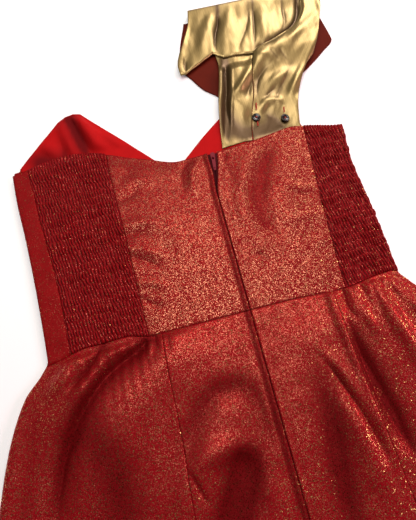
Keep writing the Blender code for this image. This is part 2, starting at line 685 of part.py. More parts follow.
grid = cut_grid(lambda y: smooth_curve(y, SASH_END["y"], SASH_END["left"]), sash_seam(-0.05),
                sash_hem, lambda x: np.full(np.shape(x), 366.0), even(9), even(16))
wall("strap_end_left", sash_place, grid, SATIN, "gold_satin")
grid = cut_grid(sash_left_edge, sash_right_edge, sash_hem,
                lambda x: np.full(np.shape(x), SHOULDER_Y - 6.0), even(10), even(24))
wall("strap_end_right", sash_place, grid, SATIN, "gold_satin")


def turned(profile, sides):
    """A closed solid turned about z from a profile of (radius, height), top to bottom."""
    mesh = bmesh.new()
    top = mesh.verts.new((0, 0, profile[0][1] * MM))
    low = mesh.verts.new((0, 0, profile[-1][1] * MM))
    rings = []
    for radius, height in profile[1:-1]:
        angles = [2 * math.pi * k / sides for k in range(sides)]
        rings.append([mesh.verts.new((radius * math.cos(a) * MM, radius * math.sin(a) * MM,
                                      height * MM)) for a in angles])
    for k in range(sides):
        n = (k + 1) % sides
        mesh.faces.new((top, rings[0][k], rings[0][n]))
        mesh.faces.new((low, rings[-1][n], rings[-1][k]))
        for upper, lower in zip(rings, rings[1:]):
            mesh.faces.new((upper[k], lower[k], lower[n], upper[n]))
    return mesh


# Dished buttons, sewn down through a raised rim
BUTTON_PROFILE = (
    (0, BUTTON_THICK - 0.7),
    (BUTTON_RADIUS - 2 * BUTTON_RIM, BUTTON_THICK - 0.6),
    (BUTTON_RADIUS - BUTTON_RIM, BUTTON_THICK),
    (BUTTON_RADIUS - 0.4, BUTTON_THICK - 0.3),
    (BUTTON_RADIUS, BUTTON_THICK / 2),
    (BUTTON_RADIUS - 0.8, 0),
    (0, 0),
)
for name, (x, y, tilt) in BUTTONS.items():
    tilt = math.radians(tilt)
    seat = float(sash_place(np.array(x), np.array(y))[2]) + SATIN / 2
    lift = seat + SEAM + 0.4 + BUTTON_RADIUS * math.sin(tilt)
    button = solid(name, turned(BUTTON_PROFILE, 18), "dark_button", (x, y, lift))
    button.rotation_euler = (0, tilt, 0)


def block(x_half, y_low, y_high, z_low, z_high, bevel):
    """A box with its edges rounded off."""
    mesh = bmesh.new()
    corners = [mesh.verts.new((x * MM, y * MM, z * MM)) for z in (z_low, z_high)
               for x, y in ((-x_half, y_low), (x_half, y_low), (x_half, y_high), (-x_half, y_high))]
    mesh.faces.new(corners[3::-1])
    mesh.faces.new(corners[4:])
    for k in range(4):
        n = (k + 1) % 4
        mesh.faces.new((corners[k], corners[n], corners[4 + n], corners[4 + k]))
    bmesh.ops.bevel(mesh, geom=mesh.edges, offset=bevel * MM, segments=1, affect="EDGES",
                    clamp_overlap=True)
    return mesh


def prism(outline, low, high, axis):
    """A closed prism of a flat outline. Axis 0 stands it across x, axis 2 up z."""
    mesh = bmesh.new()
    ends = []
    for level in (low, high):
        if axis == 0:
            ends.append([mesh.verts.new((level * MM, a * MM, b * MM)) for a, b in outline])
        else:
            ends.append([mesh.verts.new((a * MM, b * MM, level * MM)) for a, b in outline])
    mesh.faces.new(ends[0][::-1])
    mesh.faces.new(ends[1])
    for k in range(len(outline)):
        n = (k + 1) % len(outline)
        mesh.faces.new((ends[0][k], ends[0][n], ends[1][n], ends[1][k]))
    bmesh.ops.recalc_face_normals(mesh, faces=mesh.faces)
    return mesh


def apply_boolean(part, tool_mesh, operation, tool_name):
    """Join or cut the part with a hidden tool set at the part's own origin."""
    tool = solid(tool_name, tool_mesh, "zip_polyester", smooth=False)
    tool.location = part.location
    tool.rotation_euler = part.rotation_euler
    tool.hide_render = True
    tool.display_type = "WIRE"
    modifier = part.modifiers.new(tool_name, "BOOLEAN")
    modifier.operation = operation
    modifier.solver = "EXACT"
    modifier.object = tool


# Slider: a flat body with an arch along it, under which the tab's end bar turns
body_top = -ARCH_GAP
body_low = body_top - SLIDER_THICK
arch_inside = BAR / 2 + 0.55
arch_outside = arch_inside + ARCH_WALL
ARCH_OUTLINE = (
    (-arch_outside, body_top - 0.4), (-arch_outside, 0.45), (-arch_outside + 0.6, 1.0 + ARCH_WALL),
    (arch_outside - 0.6, 1.0 + ARCH_WALL), (arch_outside, 0.45), (arch_outside, body_top - 0.4),
    (arch_inside, body_top - 0.4), (arch_inside, 0.9), (-arch_inside, 0.9),
    (-arch_inside, body_top - 0.4),
)
slider_body = block(SLIDER_WIDTH / 2, -SLIDER_BELOW, SLIDER_ABOVE, body_low, body_top, 0.4)
slider = solid("zip_slider", slider_body, "zip_polyester", (HINGE_X, HINGE_Y, HINGE_Z), smooth=False)
slider.rotation_euler = (0, 0, -ZIP_LEAN)
apply_boolean(slider, prism(ARCH_OUTLINE, -ARCH_WIDTH / 2, ARCH_WIDTH / 2, 0), "UNION", "slider_arch")

# Pull tab: a flat plate that narrows, with an eye round the arch and a small hole at its end
half_wide = TAB_WIDTH / 2
half_end = TAB_END_WIDTH / 2
TAB_OUTLINE = (
    (-half_wide + 0.5, BAR / 2), (-half_wide, BAR / 2 - 0.5), (-half_wide, -EYE_LENGTH - 1.5),
    (-half_end, -TAB_LENGTH + 1.6), (-half_end + 0.6, -TAB_LENGTH + 0.4), (-0.6, -TAB_LENGTH),
    (0.6, -TAB_LENGTH), (half_end - 0.6, -TAB_LENGTH + 0.4), (half_end, -TAB_LENGTH + 1.6),
    (half_wide, -EYE_LENGTH - 1.5), (half_wide, BAR / 2 - 0.5), (half_wide - 0.5, BAR / 2),
)
half_eye = EYE_WIDTH / 2
EYE_OUTLINE = (
    (-half_eye, -BAR / 2), (-half_eye, -EYE_LENGTH), (half_eye, -EYE_LENGTH), (half_eye, -BAR / 2),
)
HOLE_OUTLINE = tuple((TAB_HOLE * math.cos(k * math.pi / 4), TAB_HOLE * math.sin(k * math.pi / 4)
                      - TAB_LENGTH + 3.0) for k in range(8))
pull = solid("zip_pull", prism(TAB_OUTLINE, -BAR / 2, BAR / 2, 2), "zip_polyester",
             (HINGE_X, HINGE_Y, HINGE_Z), smooth=False)
pull.rotation_euler = (0, 0, -ZIP_LEAN)
apply_boolean(pull, prism(EYE_OUTLINE, -2, 2, 2), "DIFFERENCE", "eye_cutter")
apply_boolean(pull, prism(HOLE_OUTLINE, -2, 2, 2), "DIFFERENCE", "hole_cutter")
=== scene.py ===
"""One-shoulder party sundress, laid flat on a table with its back up.

Lengths are millimetres on the garment: x across the dress and y up it from the centre of the back
waist, z up from the table. put_in_frame turns them into the frame's metres.
"""

import math

import bpy
import numpy as np
from mathutils import Matrix, Vector


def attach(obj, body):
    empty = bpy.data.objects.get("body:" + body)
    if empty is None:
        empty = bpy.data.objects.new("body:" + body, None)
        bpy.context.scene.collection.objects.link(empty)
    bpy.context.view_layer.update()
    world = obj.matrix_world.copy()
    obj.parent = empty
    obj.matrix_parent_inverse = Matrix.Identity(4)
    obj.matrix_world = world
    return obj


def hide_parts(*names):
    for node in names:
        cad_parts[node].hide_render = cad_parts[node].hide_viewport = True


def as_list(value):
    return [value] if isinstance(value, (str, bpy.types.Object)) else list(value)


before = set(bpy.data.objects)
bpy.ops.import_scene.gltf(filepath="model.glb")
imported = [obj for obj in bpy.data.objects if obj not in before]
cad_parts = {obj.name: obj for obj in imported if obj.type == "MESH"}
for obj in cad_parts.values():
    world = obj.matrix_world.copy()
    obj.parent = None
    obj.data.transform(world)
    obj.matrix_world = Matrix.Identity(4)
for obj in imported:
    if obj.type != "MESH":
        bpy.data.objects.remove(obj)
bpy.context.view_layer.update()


# Camera
# A phone held over the table, leaned a little towards the hem, its frame turned on the dress.
camera_tilt = math.radians(14)
across_table = Vector((0.9687, -0.2483, 0.0))
along_table = Vector((0.2483, 0.9687, 0.0))
camera_up = along_table * math.cos(camera_tilt) + Vector((0, 0, math.sin(camera_tilt)))
camera_back = Vector((0, 0, math.cos(camera_tilt))) - along_table * math.sin(camera_tilt)
camera = bpy.data.objects.new("camera", bpy.data.cameras.new("camera"))
camera.data.sensor_width = 36.0
camera.data.lens = 25.27
camera.matrix_world = Matrix.Translation((-0.02666, 0.06173, 0.42615)) @ Matrix(
    (across_table, camera_up, camera_back)).transposed().to_4x4()
bpy.context.scene.collection.objects.link(camera)
bpy.context.scene.camera = camera


# Table
# A plain white board, matt and lit a little from within, large enough to fill every view.
def from_hex(colour):
    """Linear RGBA of an sRGB hex colour: ((c + 0.055) / 1.055) to the power 2.4, c / 12.92 near black."""
    channels = np.array([int(colour[k:k + 2], 16) / 255 for k in (1, 3, 5)])
    linear = np.where(channels > 0.04045, ((channels + 0.055) / 1.055) ** 2.4, channels / 12.92)
    return (*linear.tolist(), 1.0)


def feed(node, inputs):
    """Set a node's inputs. Each is a value, a colour in hex, or the node or output that feeds it."""
    for name, value in inputs.items():
        if isinstance(value, bpy.types.Node):
            value = next(socket for socket in value.outputs if socket.enabled)
        if isinstance(value, bpy.types.NodeSocket):
            node.id_data.links.new(value, node.inputs[name])
        else:
            node.inputs[name].default_value = from_hex(value) if isinstance(value, str) else value


def add_node(tree, kind, inputs=None, **settings):
    """Add a shader node of this kind with these settings, and feed its inputs."""
    made = tree.nodes.new("ShaderNode" + kind)
    for name, value in settings.items():
        setattr(made, name, value)
    feed(made, inputs or {})
    return made


def start_material(name, **constants):
    """A new material, its node tree and its Principled shader with these socket values."""
    material = bpy.data.materials.new(name)
    material.use_nodes = True
    shader = material.node_tree.nodes["Principled BSDF"]
    feed(shader, {socket.replace("_", " "): value for socket, value in constants.items()})
    return material, material.node_tree, shader


board, _, _ = start_material("matt_white_board", Roughness=0.9, Base_Color="#f9f9f9",
                             Emission_Color="#f4f8ff", Emission_Strength=0.12)
table_mesh = bpy.data.meshes.new("table_top")
table_mesh.from_pydata([(-4, -4, -0.0004), (4, -4, -0.0004), (4, 4, -0.0004), (-4, 4, -0.0004)],
                       [], [(0, 1, 2, 3)])
table_mesh.materials.append(board)
table_top = bpy.data.objects.new("table_top", table_mesh)
bpy.context.scene.collection.objects.link(table_top)


# Light
# A broad soft lamp above the bodice, one beyond the neck end at the right, a rosier one low at the
# right, and a dim even room.
def hang_lamp(name, at, aim, size, watts, colour):
    lamp = bpy.data.objects.new(name, bpy.data.lights.new(name, "AREA"))
    lamp.data.shape = "RECTANGLE"
    lamp.data.size, lamp.data.size_y = size
    lamp.data.energy = watts
    lamp.data.color = from_hex(colour)[:3]
    lamp.location = at
    lamp.rotation_euler = (Vector(aim) - Vector(at)).to_track_quat("-Z", "Y").to_euler()
    bpy.context.scene.collection.objects.link(lamp)


hang_lamp("soft_lamp", (-0.1, 0.58, 1.3), (0.0, 0.2, 0.0), (1.0, 0.8), 14.0, "#fff9f5")
hang_lamp("far_lamp", (1.0, 1.8, 1.25), (0.0, 0.2, 0.0), (0.8, 0.6), 22.0, "#fff5ec")
hang_lamp("right_lamp", (1.15, 0.1, 0.75), (0.12, 0.05, 0.0), (0.4, 0.4), 9.0, "#ffc8d6")
room = bpy.data.worlds.new("even_room")
room.use_nodes = True
room.node_tree.nodes["Background"].inputs["Color"].default_value = from_hex("#f3efe9")
room.node_tree.nodes["Background"].inputs["Strength"].default_value = 0.1
bpy.context.scene.world = room
bpy.context.scene.view_settings.view_transform = "Standard"


# Bodice back
# Two plain panels of woven cotton, printed all over with fine gold glitter, sewn to the smocking
# at the sides and turned back in a narrow placket along the concealed zip.
WAIST_CENTRE = np.array((31.8, 94.7, 0.0))
FACE = 0.7
CLOTH_THICK = 0.8
FRONT_MID = 0.7
BACK_MID = 5.4
HALF_SEAM = 0.05
HALF_WAIST_SEAM = 0.06
PLACKET = 8.0
BROAD_FOLD = 13
# Painted shade: how far the placket's left strip is darkened in colour.
STRIP_SHADE = 0.75
MILLIMETRE = 0.001
BODICE_FLOOR = 3.4
SKIRT_FLOOR = 2.3
ZIP_FLAT = 16.0
SIDE_ROLL = 26.0
SIDES = {
    "y": (-620, -480, -330, -200, -134, -80, -34, -12, 0, 71, 149, 200, 245),
    "left": (-428, -395, -352, -318, -300, -284, -262, -241, -233.5, -235, -239, -243, -244),
    "right": (372, 338, 296, 262, 244, 226, 203, 188, 181, 180, 177, 182, 183),
    "radius": (4, 5, 6, 6.5, 6.5, 6, 5, 3.6, 3, 3, 3, 3, 3),
}
WAIST = {
    "x": (-248, -234, -220, -207, -193, -173, -142, -119, 0, 49, 106, 124, 148, 171, 180, 190),
    "y": (-3, -5.5, -3, 1, 4, 4, 5, -1, -1, -1, -4, -3, 1, 3, 0, -3),
}
BACK_TOP = {
    "x": (-244, -224, -203, -173, -148, -124, -98, -71, -37, 0, 30, 83, 116, 132, 150, 178, 250),
    "y": (236, 238, 243, 246, 243, 236, 225, 215, 204, 205, 205.5, 211, 215.5, 213, 209, 202, 200),
}
BODICE_SEAMS = {
    "y": (-10, 35, 78, 123, 170, 212, 250),
    "smock_left_outer": (-208, -208.5, -210, -214, -219, -222, -226),
    "smock_left_inner": (-119, -120, -121, -122, -124, -125, -124),
    "smock_right_inner": (114, 117, 120, 124, 129, 132, 132),
    "front_right": (145, 145, 145, 145, 146, 147, 148),
}
ZIP_LINE = {"y": (-620, 146, 177, 210), "x": (0, 0, 5, 8.5)}
ZIP_OPEN = {"y": (-620, 140, 160, 177, 192, 210), "half_width": (0.4, 0.4, 1.5, 3.0, 5.2, 6.6)}
# A fold: its width, its rise, 1 where its first end stays open, and the points of its line
BODICE_FOLDS = [
    (12, 3.2, 0, (60, 200), (38, 165), (27, 125), (30, 90), (44, 62)),
    (11, -5.6, 0, (92, 204), (69, 176), (50, 138), (45, 119), (48, 96), (58, 72)),
    (19, 2.8, 0, (94, 176), (80, 140), (76, 110), (84, 76)),
    (6, 1.6, 0, (76, 146), (100, 131), (126, 128)),
    (5, -1.2, 0, (84, 134), (104, 120), (128, 117)),
    (6, 1.4, 0, (75, 92), (101, 93), (122, 90)),
    (6, 1.2, 0, (100, 60), (120, 56)),
    (4, -1.4, 0, (14, 62), (28, 60), (40, 46)),
    (4, -1.6, 1, (24, 200), (20, 184), (24, 164)),
    (5, 2.2, 1, (-12, 196), (-24, 182), (-28, 158)),
    (5, -1.6, 1, (-26, 200), (-38, 184), (-40, 156)),
    (6, -1.6, 1, (-130, 121), (-109, 123), (-88, 114)),
    (6, 1.3, 1, (-124, 134), (-104, 136), (-80, 128)),
    (5, -1.5, 1, (-124, 98), (-105, 86), (-86, 72)),
    (6, 1.2, 1, (-122, 108), (-100, 98), (-78, 84)),
    (5, 1.2, 1, (-118, 62), (-100, 58), (-84, 46)),
    (5, -1.4, 1, (-120, 44), (-103, 31), (-92, 26)),
    (6, -1.3, 1, (-124, 168), (-104, 172), (-92, 184)),
    (8, 1.2, 0, (-116, 186), (-92, 192), (-66, 184)),
    (26, 1.6, 0, (-90, 150), (-60, 118), (-40, 70)),
]
SKIRT_FOLDS = [
    (11, 9, 1, (-190, 2), (-200, -8), (-212, -18), (-228, -32)),
    (5.5, -6, 1, (-168, 3), (-177, -4), (-191, -20), (-212, -37)),
    (10, 7, 1, (-142, 2), (-152, -3), (-168, -12), (-186, -27), (-203, -45), (-224, -78)),
    (11, -9, 1, (-118, 0), (-133, -13), (-154, -22), (-175, -34), (-195, -52), (-211, -73), (-230, -105),
     (-250, -170)),
    (30, 7, 1, (-100, -20), (-124, -46), (-148, -66), (-168, -92), (-196, -140), (-222, -210)),
    (3.2, 3.0, 1, (-120, 2), (-120, -14), (-127, -24)),
    (3, -2, 1, (-112, 0), (-112, -18)),
    (4, -1.6, 1, (-98, -4), (-100, -26)),
    (24, -4.5, 0, (-204, -76), (-188, -104), (-182, -146), (-190, -230)),
    (14, -4, 0, (-112, -156), (-107, -133), (-94, -107), (-75, -87), (-58, -78), (-40, -78), (-25, -88),
     (-18, -112), (-17, -146)),
    (13, 5.5, 0, (-122, -196), (-114, -166), (-102, -147), (-84, -136), (-60, -134), (-40, -144),
     (-30, -166), (-31, -220)),
    (21, -8, 1, (-46, -150), (-58, -174), (-76, -206), (-90, -260)),
    (3, -3.5, 0, (-108, -143), (-103, -156), (-100, -166), (-95, -180)),
    (20, 6, 0, (-230, -60), (-262, -140), (-300, -330)),
    (6, 5.0, 1, (94, -2), (93, -33), (95, -61), (97, -97), (100, -132), (101, -190)),
    (12, -12, 0, (103, -36), (105, -66), (110, -106), (118, -150), (128, -200)),
    (3.5, -3.5, 1, (111, 0), (109, -26), (113, -40)),
    (6, 3, 1, (121, -2), (122, -30), (132, -64)),
    (9, 7, 1, (142, -2), (150, -40), (168, -110)),
    (8, 6, 1, (162, 0), (176, -24), (196, -80)),
    (4, -4, 0, (57, -64), (68, -84), (78, -113), (88, -149), (96, -190)),
    (7, 3.4, 0, (62, -56), (74, -78), (86, -108), (97, -146), (104, -190)),
    (15, -6, 0, (54, -76), (53, -104), (50, -143), (44, -200), (40, -270)),
    (12, 6, 0, (72, -115), (78, -160), (84, -220)),
    (4, -1.2, 1, (30, -8), (30, -30)),
    (5, -1.4, 1, (52, -6), (54, -36)),
]
SWELLS = ((-205, -58, 52, 9), (150, -60, 52, 4))


def smooth_curve(at, knots, values):
    """Monotone cubic through a table's points: Hermite pieces with harmonic-mean slopes."""
    knots = np.asarray(knots, float)
    values = np.asarray(values, float)
    rise = np.diff(values) / np.diff(knots)
    same_way = rise[:-1] * rise[1:] > 0
    total = np.where(same_way, rise[:-1] + rise[1:], 1.0)
    slopes = np.r_[rise[0], np.where(same_way, 2 * rise[:-1] * rise[1:] / total, 0.0), rise[-1]]
    at = np.clip(at, knots[0], knots[-1])
    cell = np.clip(np.searchsorted(knots, at, side="right") - 1, 0, len(knots) - 2)
    span = knots[cell + 1] - knots[cell]
    t = (at - knots[cell]) / span
    start = (2 * t**3 - 3 * t**2 + 1) * values[cell] + (t**3 - 2 * t**2 + t) * span * slopes[cell]
    end = (3 * t**2 - 2 * t**3) * values[cell + 1] + (t**3 - t**2) * span * slopes[cell + 1]
    return start + end


def ease(t):
    """3 t squared minus 2 t cubed, held at 0 and 1 outside: a step with no slope at either end."""
    t = np.clip(t, 0, 1)
    return t * t * (3 - 2 * t)


def fold_height(x, y, folds):
    """Sum over the folds of rise times a falling curve of the distance to the fold's line.

    A raised fold and a broad one fall as a Gaussian. A narrow sunk one falls as an exponential,
    which makes a crease. A fold swells along its line as a sine, and stays high at an open end.
    """
    total = np.zeros(np.shape(x))
    for width, rise, open_end, *line in folds:
        line = np.array(line, float)
        steps = np.r_[0, np.cumsum(np.hypot(*np.diff(line, axis=0).T))]
        samples = int(max(24, steps[-1] / width * 4))
        along = (np.arange(samples) + 0.5) / samples
        path_x = smooth_curve(along * steps[-1], steps, line[:, 0])
        path_y = smooth_curve(along * steps[-1], steps, line[:, 1])
        swell = np.sin(math.pi * along) ** 0.7
        if open_end:
            swell = np.where(along < 0.5, 1.0, swell)
        low_x, low_y = line.min(0) - 3 * width
        high_x, high_y = line.max(0) + 3 * width
        near = (x > low_x) & (x < high_x) & (y > low_y) & (y < high_y)
        away = (x[near][:, None] - path_x) ** 2 + (y[near][:, None] - path_y) ** 2
        if rise > 0 or width > BROAD_FOLD:
            fall = np.exp(-away / width**2)
        else:
            fall = np.exp(-1.4 * (np.sqrt(away + 0.6) - 0.77) / width)
        total[near] += rise * (swell * fall).max(-1)
    return total


def hollows(x, y, folds, depth):
    """How far down in the sunk folds each point is: 1 at this depth, and 0 on open cloth."""
    return np.clip(-fold_height(x, y, [fold for fold in folds if fold[1] < 0]) / depth, 0, 1)


def ripples(x, y, length, height, seed):
    """Fourteen plane waves of about this length in random directions, summed: restless cloth."""
    random = np.random.default_rng(seed)
    total = np.zeros(np.shape(x))
    for _ in range(14):
        angle, phase = random.uniform(0, 2 * math.pi, 2)
        wave = 2 * math.pi / (length * random.uniform(0.7, 1.6))
        total += np.sin(wave * (x * math.cos(angle) + y * math.sin(angle)) + phase)
    return total * height / 3.7


def edge_of(table, name, shift=0.0):
    """A table's line of this name, moved across by shift, as a function of the height."""
    return lambda y: smooth_curve(y, table["y"], table[name]) + shift


def line_of(table, shift=0.0):
    """Straight stretches between a table's points, moved up by shift, as a function of x."""
    return lambda x: np.interp(x, table["x"], table["y"]) + shift


def level(height):
    return lambda x: np.full(np.shape(x), height)


def side(name, y):
    return smooth_curve(y, SIDES["y"], SIDES[name])


def bodice_seam(name, shift=0.0):
    return edge_of(BODICE_SEAMS, name, shift)


zip_line = edge_of(ZIP_LINE, "x")
zip_opening = edge_of(ZIP_OPEN, "half_width")


def left_zip(y):
    return zip_line(y) - zip_opening(y)


def right_zip(y):
    return zip_line(y) + zip_opening(y)


def waist(shift):
    return line_of(WAIST, shift)


def back_top(x):
    return smooth_curve(x, BACK_TOP["x"], BACK_TOP["y"])


def gather_waves(x, y):
    """Cosines across each gathered side, which die away exponentially below the waist seam."""
    fade = np.exp(-np.clip(-y, 0, None) / 24.0) * ease(-y / 6)
    waves = np.zeros(np.shape(x))
    for start in (-208.0, 114.0):
        across = (x - start) / 89.0
        inside = ease(across / 0.08) * ease((1 - across) / 0.08)
        waves += inside * np.cos(2 * math.pi * 8 * across)
        fine = 2 * math.pi * 21 * across + 2.0 * np.sin(9 * across)
        waves += 0.45 * inside * np.cos(fine) * np.exp(-np.clip(-y, 0, None) / 9.0)
    return 1.3 * fade * (waves + 0.6)


def flutes(x, y):
    """Broad cosine waves across the skirt, opening towards the hem and strongest at the sides."""
    middle = (side("left", y) + side("right", y)) / 2
    half = (side("right", y) - side("left", y)) / 2
    across = (x - middle) / half
    opening = ease((-90.0 - y) / 400.0)
    wave = 0.5 + 0.5 * np.cos(math.pi * 5 * across + 1.1 * np.sin(2.3 * across))
    return 7.0 * opening * wave * (0.35 + 0.65 * ease(np.abs(across) * 1.6))


def back_height(x, y):
    """Middle of the back's cloth: folds, gathers and flutes on a level, with a soft floor at the front."""
    height = BACK_MID + fold_height(x, y, BODICE_FOLDS) * ease(y / 14) * ease((214 - y) / 14)
    puff = 4.0 * ease(-y / 40) * ease((np.abs(x) - 12) / 50)
    skirt = fold_height(x, y, SKIRT_FOLDS) + gather_waves(x, y) + flutes(x, y) + puff
    for swell_x, swell_y, reach, rise in SWELLS:
        skirt = skirt + rise * np.exp(-((x - swell_x) ** 2 + (y - swell_y) ** 2) / reach**2)
    height = height + skirt * ease(-y / 9)
    near_zip = np.exp(-(x / ZIP_FLAT) ** 4)
    at_zip = BACK_MID + 0.6 * ease((y - 120) / 60)
    height = height * (1 - near_zip) + at_zip * near_zip
    lowest = np.where(y > -4, BODICE_FLOOR, SKIRT_FLOOR)
    return lowest + np.logaddexp(0, (height - lowest) * 2) / 2


def laid(cut_x, y):
    """Flat cloth laid down: level in the middle, and past each side fold round a half circle."""
    radius = side("radius", y)
    bend_left = side("left", y) + radius
    bend_right = side("right", y) - radius
    turned_right = np.clip((cut_x - bend_right) / radius, 0, math.pi)
    turned_left = np.clip((bend_left - cut_x) / radius, 0, math.pi)
    past_right = np.clip(cut_x - bend_right - math.pi * radius, 0, None)
    past_left = np.clip(bend_left - math.pi * radius - cut_x, 0, None)
    middle = np.clip(cut_x, bend_left, bend_right)
    x = middle + radius * (np.sin(turned_right) - np.sin(turned_left)) - past_right + past_left
    near_side = ease(np.minimum(middle - bend_left, bend_right - middle) / SIDE_ROLL)
    top = back_height(middle, y) * near_side + (FRONT_MID + 2 * radius) * (1 - near_side)
    turned = turned_right + turned_left
    around = FRONT_MID + radius * (1 + np.cos(turned))
    return np.stack((x, y, np.where(turned > 0, around, top)), -1)


def cut_grid(left, right, bottom, top, across, along):
    """Points between four edges, found by turns: y is mixed between bottom and top, x between sides.

    across and along are the marks from 0 to 1, or how many of them.
    """
    u, v = np.meshgrid(*(np.linspace(0, 1, marks) if np.isscalar(marks) else marks
                         for marks in (across, along)))
    x = np.zeros(u.shape)
    y = np.zeros(u.shape)
    for _ in range(6):
        y = bottom(x) * (1 - v) + top(x) * v
        x = left(y) * (1 - u) + right(y) * u
    return x, y


def face_side(place, x, y):
    """Unit normal of the laid cloth: the cross product of two short steps along the cut."""
    over_x = place(x + 0.4, y) - place(x - 0.4, y)
    over_y = place(x, y + 0.4) - place(x, y - 0.4)
    out = np.cross(over_x, over_y)
    return out / np.linalg.norm(out, axis=-1, keepdims=True)


def put_in_frame(points):
    return (points + WAIST_CENTRE) * MILLIMETRE


def show(name, points, faces, material, uv=None, painted_shade=None, body="dress"):
    """A mesh object from a points array and a (count, corners) faces array, riding on this body."""
    mesh = bpy.data.meshes.new(name)
    corners = faces.shape[1]
    mesh.vertices.add(len(points))
    mesh.vertices.foreach_set("co", put_in_frame(points).astype(np.float32).ravel())
    mesh.loops.add(faces.size)
    mesh.loops.foreach_set("vertex_index", faces.astype(np.int32).ravel())
    mesh.polygons.add(len(faces))
    mesh.polygons.foreach_set("loop_start", np.arange(0, faces.size, corners, dtype=np.int32))
    mesh.polygons.foreach_set("use_smooth", np.ones(len(faces), bool))
    if uv is not None:
        mesh.uv_layers.new(name="cut").uv.foreach_set("vector", uv[faces.ravel()].astype(np.float32).ravel())
    # Each point's amount of painted shade goes on the mesh as an attribute, for shade_hollows.
    if painted_shade is not None:
        mesh.attributes.new("painted_shade", "FLOAT", "POINT").data.foreach_set("value", painted_shade.astype(np.float32))
    mesh.update(calc_edges=True)
    mesh.validate()
    mesh.materials.append(material)
    piece = bpy.data.objects.new(name, mesh)
    bpy.context.scene.collection.objects.link(piece)
    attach(piece, body)
    return piece


def shell(name, face, wrong, cut, material, painted_shade=None):
    """A closed sheet: the face grid, the wrong-side grid turned over, and a rim of quads between."""
    rows, columns = face.shape[:2]
    index = np.arange(rows * columns).reshape(rows, columns)
    quads = np.stack((index[:-1, :-1], index[:-1, 1:], index[1:, 1:], index[1:, :-1]), -1).reshape(-1, 4)
    rim = np.r_[index[0, :-1], index[:-1, -1], index[-1, :0:-1], index[:0:-1, 0]]
    after = np.roll(rim, -1)
    below = rows * columns
    edge = np.stack((rim + below, after + below, after, rim), -1)
    faces = np.r_[quads, quads[:, ::-1] + below, edge]
    points = np.r_[face.reshape(-1, 3), wrong.reshape(-1, 3)]
    flat = np.stack(cut, -1).reshape(-1, 2) * MILLIMETRE
    if painted_shade is not None:
        painted_shade = np.tile(painted_shade.ravel(), 2)
    return show(name, points, faces, material, np.r_[flat, flat], painted_shade)


def declare_cloth(node, slot, cut, held, rests_on, fullness=1.0):
    """Hide the CAD part that this cloth stands in for, and work out the cut's reach, which goes no further.
    """
    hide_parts(node)
    x, y = cut
    size = (float(np.ptp(x)) * fullness, float(np.ptp(y)))
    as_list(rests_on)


def lay_cloth(node, slot, place, cut, material, held, rests_on, relief=0.0, thick=CLOTH_THICK, painted_shade=None,
              fullness=1.0, ending="_cloth"):
    """Lay a cut piece for a node: its face stands FACE plus its relief off the middle surface."""
    out = face_side(place, *cut)
    face = place(*cut) + out * (FACE + np.asarray(relief))[..., None]
    piece = shell(node + ending, face, face - out * thick, cut, material, painted_shade)
    declare_cloth(node, slot, cut, held, rests_on, fullness)


def seam_dip(cut, *edges, depth=0.3, reach=1.2):
    """Minus a Gaussian of the distance to each sewn edge, so that two panels meet in a groove."""
    x, y = cut
    dip = np.zeros(x.shape)
    for kind, edge in edges:
        away = np.abs(x - edge(y)) if kind == "x" else np.abs(y - edge(x))
        dip = np.minimum(dip, -depth * np.exp(-(away / reach) ** 2))
    return dip


def placket_fall(cut, edge):
    """A crease at the placket's fold, and from there a steady rise over the zip's coil."""
    away = np.abs(cut[0] - edge(cut[1]))
    inside = np.clip((PLACKET - away) / PLACKET, 0, 1)
    steep = np.where(cut[0] < edge(cut[1]), 2.7, 1.4)
    return (steep * inside - 0.9 * ease(inside * 6) - 0.3 * np.exp(-((away - PLACKET) / 0.9) ** 2)
            - 0.8 * np.exp(-(away / 0.8) ** 2))


# Printed glitter cotton: a plain weave dyed deep red, with metal dust in a clear binder. The dust is
# a fine haze that shows only where it mirrors the lamp, and the larger flakes flash one by one. Real
# dust is 0.1 to 0.2 mm, and is drawn 0.46 to 0.6 mm across so that it still shows.
FLAKE = 0.75


def shade_hollows(tree, colour, shade, most):
    """Painted shade: mix the colour towards a shade colour by the mesh's painted-shade attribute, which
    stands for the little light a deep crease holds.
    """
    depth = add_node(tree, "Attribute", attribute_name="painted_shade").outputs["Fac"]
    amount = add_node(tree, "Math", {0: depth, 1: most}, operation="MULTIPLY")
    return add_node(tree, "Mix", {0: amount, 6: colour, 7: shade}, data_type="RGBA")


def colour_by(tree, shader, pattern, dark, light, shade=None):
    """Run the colour between two tones with a pattern, and darken the hollows where a shade is given."""
    tone = add_node(tree, "Mix", {0: pattern, 6: dark, 7: light}, data_type="RGBA")
    feed(shader, {"Base Color": shade_hollows(tree, tone, shade, 0.9) if shade else tone})


